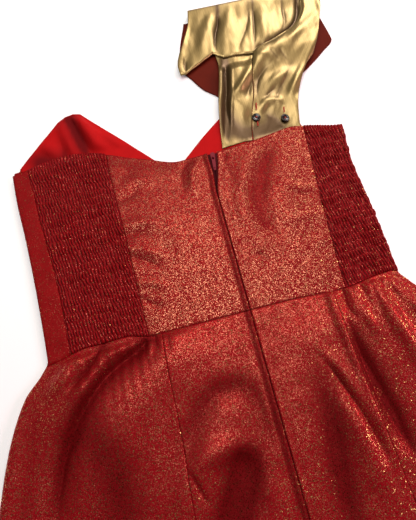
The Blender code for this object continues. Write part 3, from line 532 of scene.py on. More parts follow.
def glitter_cotton(name, ground, deep, dust, dust_share, flake_share, shade, most, grain=0.6, gloss=0.1,
                   rough=0.7):
    """Two layers of Voronoi cells, dust and flakes. A random channel of each picks the ones that shine.

    The ones that shine are metal, and their normals lean at random, the flakes' more than the dust's.
    """
    material, tree, shader = start_material(name, Specular_IOR_Level=gloss)
    place = add_node(tree, "TexCoord").outputs["Object"]
    cloud = add_node(tree, "TexNoise", {"Vector": place, "Scale": 60.0, "Detail": 5.0})
    cotton = add_node(tree, "Mix", {0: cloud, 6: deep, 7: ground}, data_type="RGBA")

    def layer(size, share):
        cells = add_node(tree, "TexVoronoi", {"Vector": place, "Scale": 1000.0 / size}).outputs["Color"]
        chance = add_node(tree, "SeparateColor", {"Color": cells})
        limit = add_node(tree, "MapRange", {"Value": cloud, "From Min": 0.35, "From Max": 0.65,
                                            "To Min": share * 0.88, "To Max": share * 1.1})
        picked = add_node(tree, "Math", {0: chance.outputs["Red"], 1: limit}, operation="LESS_THAN")
        return cells, chance.outputs["Green"], picked

    dust_random, dust_pale, dust_on = layer(grain, dust_share)
    flake_random, flake_pale, flake_on = layer(FLAKE, flake_share)
    few_pale = add_node(tree, "Math", {0: dust_pale, 1: 3.0}, operation="POWER")
    dust_tint = add_node(tree, "Mix", {0: few_pale, 6: dust[0], 7: dust[1]}, data_type="RGBA")
    dusty = add_node(tree, "Mix", {0: dust_on, 6: cotton, 7: dust_tint}, data_type="RGBA")
    gold = add_node(tree, "Mix", {0: flake_pale, 6: "#d08040", 7: "#ffd088"}, data_type="RGBA")
    colour = add_node(tree, "Mix", {0: flake_on, 6: dusty, 7: gold}, data_type="RGBA")
    either = add_node(tree, "Math", {0: dust_on, 1: flake_on}, operation="MAXIMUM")
    shine = add_node(tree, "MapRange", {"Value": either, "To Min": rough, "To Max": 0.4})
    gleam = add_node(tree, "Mix", {0: flake_on, 2: shine, 3: 0.3})
    spread = add_node(tree, "MapRange", {"Value": flake_on, "To Min": 0.3, "To Max": 1.7})
    amount = add_node(tree, "Math", {0: spread, 1: either}, operation="MULTIPLY")
    random = add_node(tree, "Mix", {0: flake_on, 6: dust_random, 7: flake_random}, data_type="RGBA")
    lean = add_node(tree, "VectorMath", {0: random, 1: (0.5, 0.5, 0.5)}, operation="SUBTRACT")
    leaned = add_node(tree, "VectorMath", {0: lean, "Scale": amount}, operation="SCALE")
    straight = add_node(tree, "NewGeometry").outputs["Normal"]
    mirror = add_node(tree, "VectorMath", {0: straight, 1: leaned}, operation="ADD")
    unit = add_node(tree, "VectorMath", {0: mirror}, operation="NORMALIZE")
    metal = add_node(tree, "Math", {0: either, 1: 0.86}, operation="MULTIPLY")
    # Painted shade: the colour runs towards the shade colour, as far as most, by the mesh's painted-shade
    # attribute.
    feed(shader, {"Base Color": shade_hollows(tree, colour, shade, most), "Metallic": metal,
                  "Roughness": gleam, "Normal": unit})
    return material


bodice_cotton = glitter_cotton("glitter_cotton_bodice", "#880612", "#74050e", ("#840a0c", "#e09c78"),
                               0.38, 0.05, "#6c0208", 0.8)


def bodice_relief(cut, edge, inner_seam, seed):
    """Seam grooves, the placket and a 20 mm facing that lets the top edge droop left of the sash."""
    x, y = cut
    droop = -1.6 * ease((y - back_top(x) + 20) / 20) * ease((40 - x) / 30)
    return (seam_dip(cut, ("x", inner_seam), ("y", waist(0))) + placket_fall(cut, edge) + droop
            + ripples(x, y, 26, 0.14, seed) + ripples(x, y, 9, 0.03, seed + 1))


for name, left, right, edge, inner_seam, strip_shade, seed in (
        ("bodice_back_left", bodice_seam("smock_left_inner", HALF_SEAM), left_zip, left_zip,
         bodice_seam("smock_left_inner"), STRIP_SHADE, 3),
        ("bodice_back_right", right_zip, bodice_seam("smock_right_inner", -HALF_SEAM), right_zip,
         bodice_seam("smock_right_inner"), 0.0, 5)):
    cut = cut_grid(left, right, waist(HALF_WAIST_SEAM), back_top, 90, 130)
    # Painted shade: the bodice's sunk folds and the placket's left strip are darkened in colour.
    strip = strip_shade * (np.abs(cut[0] - edge(cut[1])) < PLACKET)
    lay_cloth(name, "glitter_cotton", laid, cut, bodice_cotton, "laid", ["front_lining"],
              bodice_relief(cut, edge, inner_seam, seed),
              painted_shade=np.clip(hollows(*cut, BODICE_FOLDS, 3.2) + strip, 0, 1))


# Smocking
# The same cotton gathered on 24 to 27 rows of elastic thread, 9 mm apart, which pull it into
# staggered upright puckers, with a plain frill of gathers along the top edge.
SMOCK_ROW = 9.0
PUCKER = 3.5
SMOCK_FULLNESS = 1.5
# Painted shade: the puckers' creases are mixed towards near black, fully where they are deepest.
smock_cotton = glitter_cotton("glitter_cotton_smocked", "#84030b", "#6e0308", ("#80080e", "#c46c5c"),
                               0.14, 0.02, "#1a0103", 1.0, gloss=0.08, rough=0.6)


def under(name, seam):
    """Cut position, past the left or right fold, of a seam that lies on the table at this x."""
    outwards = 1 if name == "right" else -1

    def cut(y):
        bend = side(name, y) - outwards * side("radius", y)
        return bend + outwards * math.pi * side("radius", y) + bend - seam(y)
    return cut


def puckers(cut, seed):
    """Ridges |cos| across, swelling as a sine between two elastic rows, each row shifted at random.

    Returns the height, and how far down in a crease each point is, from 0 to 1.
    """
    random = np.random.default_rng(seed)
    x, y = cut
    row_at = y / SMOCK_ROW + 0.12 * np.sin(x / 13 + seed) + 0.08 * np.sin(x / 5.1)
    row = np.floor(row_at).astype(int)
    part = row_at - row
    count = row.max() - row.min() + 3
    row = row - row.min() + 1
    shift = random.uniform(0, 1, count)
    sway = random.uniform(0, 2 * math.pi, (3, count))
    size = random.uniform(0.75, 1.15, count)

    def phase(r):
        return (x / PUCKER + shift[r] + 0.4 * np.sin(x / 15 + sway[0, r]) + 0.2 * np.sin(x / 6.3 + sway[1, r])
                + 0.1 * np.sin(y / 2.3 + x / 3.4) + 0.4 * (part - 0.5) * (r == row))
    ridge = np.abs(np.cos(math.pi * phase(row)))
    before = np.abs(np.cos(math.pi * (phase(row - 1) + 0.25)))
    mixing = ease(part / 0.2)
    ridge = ridge * mixing + before * (1 - mixing)
    swell = np.sin(math.pi * part) ** 0.6
    uneven = 0.75 + 0.4 * np.sin(x / 5.3 + sway[2, row]) * np.sin(x / 3.1 + sway[0, row])
    body = 2.9 * size[row] * uneven * ridge**0.8 * (0.5 + 0.5 * swell)
    frill = 1.5 * np.abs(np.cos(math.pi * (x / 3.6 + 0.4 * np.sin(x / 8)))) ** 0.8
    top = ease((y - back_top(x) + 9) / 2)
    crease = (1 - ease(ridge / 0.62)) * (0.5 + 0.5 * swell) * (1 - 0.5 * top)
    return body * (1 - top) + frill * top, crease


def smock_relief(cut, *edges, seed):
    """The puckers, lower beside a sewn edge and gone where the panel turns under."""
    x, y = cut
    sewn = seam_dip(cut, *edges, depth=1.0, reach=1.6)
    near = 1 + sewn * 0.6
    turned = np.clip((x - side("right", y) + side("radius", y)) / (math.pi * side("radius", y)), 0, 1)
    height, painted_shade = puckers(cut, seed)
    on_top = 1 - ease(turned * 1.6)
    return {"relief": (height * near + sewn * 0.3) * on_top, "painted_shade": painted_shade * on_top}


for name, left, right, columns, rows, seams, seed in (
        ("smock_left", bodice_seam("smock_left_outer", HALF_SEAM),
         bodice_seam("smock_left_inner", -HALF_SEAM), 200, 190, ("smock_left_outer", "smock_left_inner"), 11),
        ("smock_right", bodice_seam("smock_right_inner", HALF_SEAM),
         under("right", bodice_seam("front_right", HALF_SEAM)), 204, 184, ("smock_right_inner",), 12)):
    cut = cut_grid(left, right, waist(HALF_WAIST_SEAM), back_top, columns, rows)
    sewn = [("x", bodice_seam(seam)) for seam in seams]
    lay_cloth(name, "smocked_cotton", laid, cut, smock_cotton, "gathered", ["front_lining"],
              fullness=SMOCK_FULLNESS, **smock_relief(cut, *sewn, ("y", waist(0)), seed=seed))


# Bodice front
# The same cotton, plain. It comes 25 mm round the left side, and lies face down under the lining,
# with two cups whose edges rise above the back.
FRONT_TOP = {
    "x": (-244, -224, -197, -178, -167, -157, -147, -138, -118, -95, -70, -45, -27, 2, 28, 45,
          86, 126, 129, 133, 144, 178),
    "y": (234, 255, 281, 299, 305.5, 307, 304, 294, 272, 247, 219, 191, 206, 231, 251, 262,
          266, 262, 236, 212, 205, 198),
}
front_cotton = glitter_cotton("glitter_cotton_front", "#8c0408", "#740306", ("#80080c", "#b0604c"),
                               0.14, 0.014, "#6c0206", 0.8)
front_top = line_of(FRONT_TOP)


def front_edge_top(cut_x):
    """The back's top edge on the strip beside the smocking, and the cups' edge on the table."""
    bend = side("left", 236.0) + side("radius", 236.0)
    on_table = 2 * bend - math.pi * side("radius", 236.0) - cut_x
    return np.where(cut_x > bend, back_top(cut_x), front_top(on_table))


front_marks = 2 * (SIDES["left"][-1] + 3) - math.pi * 3 - np.array(FRONT_TOP["x"][1:])
front_left = bodice_seam("smock_left_outer", -HALF_SEAM)
front_right = under("left", bodice_seam("front_right", -HALF_SEAM))
strip_start = float(front_left(236.0))
strip_end = float(front_right(200.0))
marks = (strip_start - front_marks[front_marks > strip_end]) / (strip_start - strip_end)
marks = np.r_[np.linspace(0, marks[0], 40)[:-1], marks, 1]
marks = np.unique(np.r_[marks, np.linspace(marks[39], 1, 60)])
x, y = cut_grid(front_left, front_right, waist(HALF_WAIST_SEAM), front_edge_top, marks, 60)
cut = (x[:, ::-1], y[:, ::-1])
on_top = ease((cut[0] - side("left", cut[1]) - 1) / 3)
lay_cloth("bodice_front", "glitter_cotton", laid, cut, front_cotton, "folded", [],
          (seam_dip(cut, ("x", bodice_seam("smock_left_outer")), ("y", waist(0)))
           + ripples(*cut, 30, 0.3, 21)) * on_top)


# Front lining
# Plain bright red cotton, matt, sewn to the front round the cups' edges, with a dart crease that
# falls from the left cup's peak.
CUP_FOLDS = [
    (8, -9, 1, (-163, 300), (-158, 282), (-147, 238)),
    (10, -4, 0, (-178, 266), (-176, 248), (-178, 230)),
    (14, -6, 0, (-216, 254), (-202, 242), (-186, 230)),
    (10, 9, 1, (-152, 300), (-142, 274), (-126, 238)),
    (8, 6, 1, (-173, 296), (-169, 272), (-162, 238)),
    (11, 5, 0, (-204, 272), (-190, 256), (-180, 242)),
    (12, 4, 0, (-128, 284), (-108, 258), (-84, 234)),
]
LINING_MID = 2.3
LINING_INSET = 9.0
lining_cotton, tree, shader = start_material("plain_red_cotton", Roughness=0.75, Specular_IOR_Level=0.1)
place = add_node(tree, "TexCoord").outputs["UV"]
cloud = add_node(tree, "TexNoise", {"Vector": place, "Scale": 60.0, "Detail": 5.0})
# Painted shade: the cup folds' creases are mixed towards dark red, by the amounts hollows gives for
# CUP_FOLDS.
colour_by(tree, shader, cloud, "#a0070a", "#bc0c0e", "#580206")
weave = add_node(tree, "TexNoise", {"Vector": place, "Scale": 1400.0})
feed(shader, {"Normal": add_node(tree, "Bump", {"Height": weave, "Strength": 0.2, "Distance": 0.0002})})


def lining_place(x, y):
    """Level on the front, raised by the folds that run down from each cup's peak."""
    inside = ease((y - 238) / 14) * (0.2 + 0.8 * ease((front_top(x) - y) / 16))
    height = LINING_MID + fold_height(x, y, CUP_FOLDS) * inside
    return np.stack((x, y, np.maximum(height, LINING_MID)), -1)


lining_marks = np.array(FRONT_TOP["x"])
lining_marks = lining_marks[(lining_marks > -230) & (lining_marks < 170)]
lining_left = float(side("left", 230.0)) + LINING_INSET
lining_right = float(side("right", 190.0)) - LINING_INSET
marks = (lining_marks - lining_left) / (lining_right - lining_left)
marks = np.unique(np.r_[marks, np.linspace(0, 1, 130)])
cut = cut_grid(edge_of(SIDES, "left", LINING_INSET), edge_of(SIDES, "right", -LINING_INSET), waist(2.0),
               front_top, marks, np.r_[np.linspace(0, 0.6, 14), np.linspace(0.6, 1, 68)[1:]])
edge_roll = -0.4 * np.exp(-((front_top(cut[0]) - cut[1]) / 1.4) ** 2)
lay_cloth("front_lining", "red_lining", lining_place, cut, lining_cotton, "laid", ["bodice_front"],
          edge_roll - 0.1, painted_shade=hollows(*cut, CUP_FOLDS, 4.5))


# Skirt
# Two back panels with a centre seam that carries on from the zip, two sides gathered below the
# smocking and turned under, and the front, which the dress lies on.
SKIRT_SEAMS = {
    "y": (-620, -400, -200, -103, -30, 0),
    "left": (-165, -132, -112, -107, -105, -104),
    "right": (150, 122, 106, 101, 98, 98),
    "under_left": (-388, -335, -280, -264, -222, -200),
    "under_right": (332, 280, 224, 206, 163, 145),
}
SKIRT_FULLNESS = 1.1
SKIRT_FRONT_THICK = 1.4
HEM_Y = -620.0
HEM_CURVE = 22.0
skirt_cotton = glitter_cotton("glitter_cotton_skirt", "#940312", "#82020e", ("#920a10", "#e08c70"),
                              0.32, 0.09, "#640206", 0.9, grain=0.46)


def skirt_seam(name, shift=0.0):
    return edge_of(SKIRT_SEAMS, name, shift)


def hem(cut_x):
    """A shallow parabola across the dress, mirrored where the cloth is turned under."""
    left_end, right_end = SIDES["left"][0], SIDES["right"][0]
    x = np.where(cut_x < left_end, 2 * left_end - cut_x, cut_x)
    x = np.where(x > right_end, 2 * right_end - x, x)
    middle = -WAIST_CENTRE[0]
    return HEM_Y + HEM_CURVE * ((x - middle) / (right_end - middle)) ** 2


def skirt_relief(cut, *edges, seed):
    """Seam grooves and slow ripples, flat again where the cloth lies on the table."""
    x, y = cut
    left_in = (x - side("left", y)) / (2 * side("radius", y))
    right_in = (side("right", y) - x) / (2 * side("radius", y))
    on_top = ease(left_in) * ease(right_in)
    restless = ripples(x, y, 34, 0.24, seed) + ripples(x, y, 11, 0.04, seed + 1)
    return (seam_dip(cut, *edges) + restless * ease(-y / 10)) * on_top


below_waist = waist(-HALF_WAIST_SEAM)
skirt_rows = np.r_[np.linspace(0, 0.6, 60), np.linspace(0.6, 1, 130)[1:]]
for name, left, right, seam, zip_side, strip_shade, columns, seed in (
        ("skirt_back_left", skirt_seam("left", HALF_SEAM), left_zip, "left", left_zip, STRIP_SHADE, 60, 31),
        ("skirt_back_right", right_zip, skirt_seam("right", -HALF_SEAM), "right", right_zip, 0.0, 60, 33),
        ("skirt_side_left", under("left", skirt_seam("under_left", -HALF_SEAM)),
         skirt_seam("left", -HALF_SEAM), "left", None, 0.0, 140, 35),
        ("skirt_side_right", skirt_seam("right", HALF_SEAM),
         under("right", skirt_seam("under_right", HALF_SEAM)), "right", None, 0.0, 128, 37)):
    cut = cut_grid(left, right, hem, below_waist, columns, skirt_rows)
    relief = skirt_relief(cut, ("x", skirt_seam(seam)), ("y", waist(0)), seed=seed)
    if zip_side:
        relief = relief + placket_fall(cut, zip_side)
    # Painted shade: the skirt's sunk folds, the deep wedge right of the seam among them, and the placket's
    # left strip are mixed towards a dark red.
    strip = strip_shade * (np.abs(cut[0]) < PLACKET)
    held, fullness = ("laid", 1.0) if zip_side else ("gathered", SKIRT_FULLNESS)
    lay_cloth(name, "glitter_cotton", laid, cut, skirt_cotton, held, ["skirt_front"], relief,
              painted_shade=np.clip(hollows(*cut, SKIRT_FOLDS, 5) + strip, 0, 1), fullness=fullness)


def on_table(height):
    return lambda x, y: np.stack((x, y, np.full(np.shape(x), height)), -1)


cut = cut_grid(skirt_seam("under_left", HALF_SEAM), skirt_seam("under_right", -HALF_SEAM), hem,
               level(-3.0 - HALF_WAIST_SEAM), 60, 70)
lay_cloth("skirt_front", "glitter_cotton", on_table(FRONT_MID), cut, skirt_cotton, "laid", [],
          thick=SKIRT_FRONT_THICK)


# Concealed zip
# A polyester tape sewn under both panels, with its nylon coil along the middle. It is closed, and
# the panels part over its top 60 mm and show it.
zip_polyester, tree, shader = start_material("woven_polyester_tape", Roughness=0.7, Specular_IOR_Level=0.1)
place = add_node(tree, "TexCoord").outputs["Object"]
ribs = add_node(tree, "TexWave", {"Vector": place, "Scale": 420.0, "Distortion": 0.5},
                wave_type="BANDS", bands_direction="Y")
colour_by(tree, shader, ribs.outputs["Fac"], "#2c0206", "#54060e")
TAPE_HALF = 10.0
TAPE_THICK = 0.8
TAPE_DROP = 2.1
TAPE_TOP = 203.5
ZIP_END = -175.0


def tape_place(x, y):
    return np.stack((x, y, back_height(x, y) - TAPE_DROP), -1)


cut = cut_grid(edge_of(ZIP_LINE, "x", -TAPE_HALF), edge_of(ZIP_LINE, "x", TAPE_HALF), level(ZIP_END),
               level(TAPE_TOP), 13, 200)
face = tape_place(*cut) + np.array((0, 0, TAPE_THICK / 2))
piece = shell("zip_tape_woven", face, face - np.array((0, 0, TAPE_THICK)), cut, zip_polyester)
declare_cloth("zip_tape", "zip_polyester", cut, "laid", ["front_lining"])


# Sash, front stretch
# Gold satin lined with dark red. It rises from the right cup with its lining up, and shows at both
# sides of the stretch that lies over it.
SASH_FRONT = {
    "y": (262, 285, 302, 322, 338, 360, 415),
    "left": (46, 38, 21, 9, 0, 2, 20),
    "right": (125, 146, 172, 199, 217, 215, 206),
}
SATIN_MID = 0.6
SATIN_THICK = 1.0
dark_lining, tree, shader = start_material("dark_red_lining_twill", Roughness=0.7,
                                            Specular_IOR_Level=0.08)
place = add_node(tree, "TexCoord").outputs["UV"]
cloud = add_node(tree, "TexNoise", {"Vector": place, "Scale": 25.0, "Detail": 3.0})
colour_by(tree, shader, cloud, "#4a0e04", "#641c0c")
cut = cut_grid(edge_of(SASH_FRONT, "left"), edge_of(SASH_FRONT, "right"), lambda x: front_top(x) + 0.3,
               level(415.0), 70, 60)
lay_cloth("strap_front", "dark_red_lining", on_table(SATIN_MID), cut, dark_lining, "laid", [], -0.1,
          SATIN_THICK, ending="_satin")


# Sash, stretch over the shoulder
# The same sash after it has turned over the shoulder: gold side up, in soft pleats, with its lower
# edge folded under.
SHOULDER_Y = 430.0
SHOULDER_RADIUS = 4.2
SASH_UPPER = {"y": (325, 339, 380, 408, 430), "left": (-4, -5, 12, 25, 30)}
SASH_UPPER_LOW = {
    "x": (-5, 3, 47, 60, 78, 101, 133, 200),
    "y": (328, 328, 351, 341, 341, 338, 349, 362),
}
UPPER_FOLDS = [
    (3.6, -2.6, 1, (72, 425), (67, 401), (58, 380), (50, 352)),
    (10, 2.4, 1, (58, 425), (52, 404), (43, 384), (32, 352)),
    (9, 1.6, 1, (88, 425), (82, 395), (70, 358)),
    (3.5, -1.0, 1, (118, 425), (108, 392), (96, 371), (80, 346)),
    (2.6, -1.8, 1, (124, 425), (117, 390), (105, 346)),
    (8, 1.6, 1, (140, 425), (130, 385), (118, 352)),
    (3, -1.4, 1, (166, 425), (159, 379), (150, 362)),
    (5, -2.6, 1, (188, 425), (182, 392), (168, 371), (126, 352), (107, 345), (98, 330)),
    (5, 1.4, 1, (27, 425), (20, 400), (5, 362), (-3, 338)),
    (3, -1.8, 0, (7, 352), (3, 330)),
]
# Polyester satin: long floats of bright yarn, so it shines like soft metal with dark folds.
# Painted shade: its creases are mixed towards a dark brown.
gold_satin, tree, shader = start_material("gold_polyester_satin", Metallic=0.75, Roughness=0.36,
                                           Coat_Weight=0.3, Coat_Roughness=0.3)
place = add_node(tree, "TexCoord").outputs["UV"]
drawn_out = add_node(tree, "Mapping", {"Vector": place, "Scale": (900.0, 60.0, 1.0)})
yarn = add_node(tree, "TexNoise", {"Vector": drawn_out, "Scale": 1.0, "Detail": 3.0})
colour_by(tree, shader, yarn, "#725e30", "#b49a60", "#442a10")
feed(shader, {"Normal": add_node(tree, "Bump", {"Height": yarn, "Strength": 0.12, "Distance": 0.0001})})


def satin_relief(cut, lean):
    """Slight creases that satin keeps from wear: ripples drawn out three times along the pull's angle."""
    x, y = cut
    angle = math.radians(lean)
    along = (x * math.cos(angle) + y * math.sin(angle)) / 3
    across = y * math.cos(angle) - x * math.sin(angle)
    return -0.1 + ripples(along, across, 16, 0.28, 51) + ripples(along, across, 6, 0.05, 52)


def shoulder_place(x, cut_y):
    """Pleats on a level, and over the shoulder a half circle that goes back down to the table."""
    bend = SHOULDER_Y - SHOULDER_RADIUS
    turned = np.clip((cut_y - bend) / SHOULDER_RADIUS, 0, math.pi)
    past = np.clip(cut_y - bend - math.pi * SHOULDER_RADIUS, 0, None)
    y = np.minimum(cut_y, bend) + SHOULDER_RADIUS * np.sin(turned) - past
    folds = fold_height(x, cut_y, UPPER_FOLDS) * ease((bend - cut_y) / 20)
    near_fold = ease((bend - cut_y) / 30)
    top = (6.6 + folds) * near_fold + (SATIN_MID + 2 * SHOULDER_RADIUS) * (1 - near_fold)
    z = np.where(turned > 0, SATIN_MID + SHOULDER_RADIUS * (1 + np.cos(turned)), top)
    return np.stack((x, y, z), -1)


shoulder_tail = SHOULDER_Y - SHOULDER_RADIUS + math.pi * SHOULDER_RADIUS + 10.0
marks = np.unique(np.r_[np.linspace(0, 1, 130), (np.array((3, 47, 60, 78, 101, 133)) + 5) / 201])
upper_low_edge = line_of(SASH_UPPER_LOW)
cut = cut_grid(edge_of(SASH_UPPER, "left"), level(196.0), upper_low_edge, level(shoulder_tail), marks, 100)
edge_roll = -1.2 * np.exp(-((cut[1] - upper_low_edge(cut[0])) / 1.6) ** 2)
# Painted shade in the pleats' sunk folds, from the hollows of UPPER_FOLDS.
lay_cloth("strap_upper", "gold_satin", shoulder_place, cut, gold_satin, "folded", ["strap_front"],
          satin_relief(cut, 82) * ease((SHOULDER_Y - 3 - cut[1]) / 20) + edge_roll, SATIN_THICK,
          hollows(*cut, UPPER_FOLDS, 2.0), ending="_satin")


# Sash, buttoned end
# The loose end of the sash, two widths joined by a red stitched seam, tucked behind the bodice's
# top edge with a rolled left edge and deep soft creases.
SASH_END = {
    "y": (205, 211, 243, 272, 300, 315, 337, 352, 367),
    "left": (22, 23, 28, 34, 42, 46, 50, 50, 48),
    "seam": (63, 64, 72, 82, 89, 93, 100, 104, 107),
    "right": (131, 130, 135, 147, 164, 179, 193, 200, 205),
}
SASH_TOP_LEFT = {
    "y": (315, 337, 343, 350, 369, 392, 425),
    "x": (93, 101, 108, 128, 170, 186, 192),
}
SASH_TOP_RIGHT = {"y": (315, 343, 367, 395, 425), "x": (179, 195, 205, 215, 221)}
SASH_HEM = {"x": (20, 31, 53, 65, 90, 132), "y": (207, 208.5, 210.5, 209, 206, 205)}
SASH_FOLDS = [
    (6, -5, 1, (61, 346), (59, 331), (50, 291), (41, 259), (31, 212)),
    (2.6, 1.6, 0, (68, 345), (66, 328), (57, 291), (48, 258), (37, 214)),
    (8, 1.4, 0, (78, 330), (71, 300), (62, 268), (52, 225)),
    (5.5, 2.6, 0, (95, 320), (83, 304), (70, 290), (59, 281), (55, 272), (60, 264)),
    (6, -1.6, 0, (92, 300), (80, 284), (72, 270)),
    (8, 1.8, 0, (100, 331), (108, 328), (118, 320)),
    (6, -1.8, 0, (122, 315), (109, 308), (97, 297), (90, 282), (84, 262)),
    (7, 2.0, 0, (140, 300), (122, 290), (106, 283)),
    (5.5, -1.6, 0, (118, 279), (105, 271), (93, 262)),
    (6, 2.2, 0, (84, 250), (96, 257), (108, 258), (118, 250)),
    (5.5, -1.5, 0, (148, 310), (133, 289), (116, 268), (104, 250)),
    (6, 1.4, 0, (150, 292), (136, 270), (124, 246)),
    (6, 1.8, 0, (196, 357), (180, 326), (164, 303), (141, 277), (131, 258)),
    (4, -1.5, 0, (206, 352), (188, 322), (168, 297), (150, 272), (142, 250)),
    (9, 3.0, 0, (126, 216), (133, 240), (141, 262)),
    (11, -2.4, 0, (90, 246), (98, 232), (108, 214)),
    (15, -2.6, 0, (36, 262), (44, 238), (58, 222), (90, 220), (112, 214)),
    (10, 3.0, 0, (100, 326), (137, 338), (173, 354), (206, 372)),
    (5, -2.2, 0, (112, 342), (142, 352), (175, 368)),
    (4.5, -1.2, 0, (120, 336), (132, 314)),
    (4.5, -1.2, 0, (134, 334), (142, 312)),
    (4, 1.6, 0, (214, 404), (208, 362)),
]
BUTTONS = {"button_left": (77.0, 240.0, 0.0), "button_right": (113.0, 229.0, 9.0)}
SASH_MID = 3.8
SASH_TOP_MID = 12.2
sash_hem = line_of(SASH_HEM)
sash_seam = edge_of(SASH_END, "seam")
sash_low_right = edge_of(SASH_END, "right")
sash_high_left = edge_of(SASH_TOP_LEFT, "x")
sash_high_right = edge_of(SASH_TOP_RIGHT, "x")


def sash_place(x, y):
    """Tucked in at the hem, puffed above it, rolled at the left edge, and up over the shoulder stretch."""
    edge = smooth_curve(y, SASH_END["y"], SASH_END["left"])
    roll = 1.2 * np.exp(-((x - edge - 3) / 3.5) ** 2) * ease((y - 208) / 30)
    folds = fold_height(x, y, SASH_FOLDS) * ease((y - 207) / 12) + roll
    puff = 4.6 * ease((y - 214) / 60)
    for button_x, button_y, _ in BUTTONS.values():
        free = 1 - np.exp(-((x - button_x) ** 2 + (y - button_y) ** 2) / 9.0**2)
        folds = folds * free
        puff = puff * free
    tucked = ease((y - 316) / 18)
    crossed = ease((y - 300) / 34)
    low = (folds + puff) * (1 - tucked)
    high = folds * (1 - 0.25 * crossed) + puff * (1 - crossed) + (SASH_TOP_MID - SASH_MID) * crossed
    high = high - 2.4 * crossed * np.exp(-((x - sash_left_edge(y)) / 3.2) ** 2)
    raised = np.where(x > sash_seam(y) + 0.05, high, low)
    return np.stack((x, y, SASH_MID - 0.9 + np.logaddexp(0, (raised + 0.9) * 1.5) / 1.5), -1)


def sash_right_edge(y):
    return np.where(y < SASH_TOP_RIGHT["y"][0], sash_low_right(y), sash_high_right(y))


def sash_left_edge(y):
    return np.where(y < SASH_TOP_LEFT["y"][0], sash_seam(y), sash_high_left(y)) + 0.3


for name, left, right, top, columns, rows, lean, under in (
        ("strap_end_left", edge_of(SASH_END, "left"), edge_of(SASH_END, "seam", -0.05), level(366.0), 60, 130,
         75, "strap_front"),
        ("strap_end_right", sash_left_edge, sash_right_edge, level(424.0), 96, 170, 54, "strap_upper")):
    cut = cut_grid(left, right, sash_hem, top, columns, rows)
    # Painted shade in the sunk folds of the sash's end, the broad one along the tucked hem among them, fading
    # out above the crossing.
    lay_cloth(name, "gold_satin", sash_place, cut, gold_satin, "folded", [under],
              satin_relief(cut, lean) + seam_dip(cut, ("x", sash_seam), depth=0.25), SATIN_THICK,
              hollows(*cut, SASH_FOLDS, 2.2) * (1 - ease((cut[1] - 335) / 25)), ending="_satin")


# Threads
# Orange-red polyester sewing thread: lock stitches down the sash's seam, a bar across the seam's
# foot, and short worked bars above both buttons and below the left one.
SEAM_STITCH = 2.3
SEAM_PITCH = 3.1
red_thread, tree, shader = start_material("polyester_sewing_thread", Roughness=0.5)
place = add_node(tree, "TexCoord").outputs["Object"]
twist = add_node(tree, "TexWave", {"Vector": place, "Scale": 900.0}, wave_type="BANDS",
                 bands_direction="DIAGONAL")
colour_by(tree, shader, twist.outputs["Fac"], "#8c1c0c", "#c43c1c")


def ring_faces(rings, sides, start=0):
    """Quads between closed rings of points that follow each other."""
    index = start + np.arange(rings * sides).reshape(rings, sides)
    after = np.roll(index, -1, axis=1)
    return np.stack((index[:-1], index[1:], after[1:], after[:-1]), -1).reshape(-1, 4)


def tubes(paths, radius, sides=6):
    """A tube round each path: rings at right angles to it, drawn in to a point at both ends."""
    points = []
    faces = []
    turn = 2 * math.pi * np.arange(sides) / sides
    for path in paths:
        path = np.asarray(path, float)
        along = np.gradient(path, axis=0)
        across = np.cross(along, (0.3, 0.1, 1.0))
        across /= np.linalg.norm(across, axis=1, keepdims=True)
        up = np.cross(across, along)
        up /= np.linalg.norm(up, axis=1, keepdims=True)
        thick = np.full(len(path), radius)
        thick[[0, -1]] = radius * 0.1
        ring = (np.cos(turn)[:, None] * across[:, None] + np.sin(turn)[:, None] * up[:, None])
        faces.append(ring_faces(len(path), sides, sum(map(len, points))))
        points.append((path[:, None] + ring * thick[:, None, None]).reshape(-1, 3))
    return np.concatenate(points), np.concatenate(faces)


def stitch(start, end, rise):
    """A lock stitch on the sash between two points: a sine arch with its ends in the cloth."""
    t = np.linspace(0, 1, 5)
    x = start[0] + (end[0] - start[0]) * t
    y = start[1] + (end[1] - start[1]) * t
    z = sash_place(x, y)[:, 2] + 0.45 + rise * np.sin(math.pi * t)
    return np.stack((x, y, z), -1)


seam_at = edge_of(SASH_END, "seam", 0.3)
stitches = [stitch((seam_at(y) + 0.2, y), (seam_at(y + SEAM_STITCH) + 0.2, y + SEAM_STITCH), 0.4)
            for y in np.arange(212.0, 306.0, SEAM_PITCH)]
points, faces = tubes(stitches, 0.17)
show("sash_seam_stitches", points, faces, red_thread)
bold = [stitch((seam_at(y) - 1.2, y), (seam_at(y) + 1.6, y + 1.0), 0.5) for y in (209.6, 211.4, 213.0)]
for (x, y), (end_x, end_y) in (((82.0, 259.0), (80.0, 250.6)), ((77.2, 234.2), (76.2, 228.6)),
                               ((116.2, 245.0), (115.0, 238.6))):
    steps = int(math.hypot(end_x - x, end_y - y) / 0.55)
    for k in range(steps + 1):
        middle_x = x + (end_x - x) * k / steps
        middle_y = y + (end_y - y) * k / steps
        bold.append(stitch((middle_x - 1.3, middle_y), (middle_x + 1.3, middle_y + 0.2), 0.8))
points, faces = tubes(bold, 0.36)
show("sash_worked_bars", points, faces, red_thread)


# Buttons
# Near-black polyester buttons, turned with a raised rim and a shallow dish, and sewn down with
# crossed stitches of the same red thread.
BUTTON_RADIUS = 5.7
BUTTON_SIDES = 48
BUTTON_PROFILE = ((0, 1.45), (1.6, 1.47), (2.9, 1.55), (3.6, 1.78), (4.2, 2.06), (4.7, 2.18), (5.15, 2.1),
                  (5.5, 1.8), (5.68, 1.35), (5.7, 1.0), (5.55, 0.6), (5.2, 0.2), (4.7, 0.02), (0, 0))
dark_button, _, _ = start_material("turned_polyester_button", Roughness=0.22, Base_Color="#1c1210")


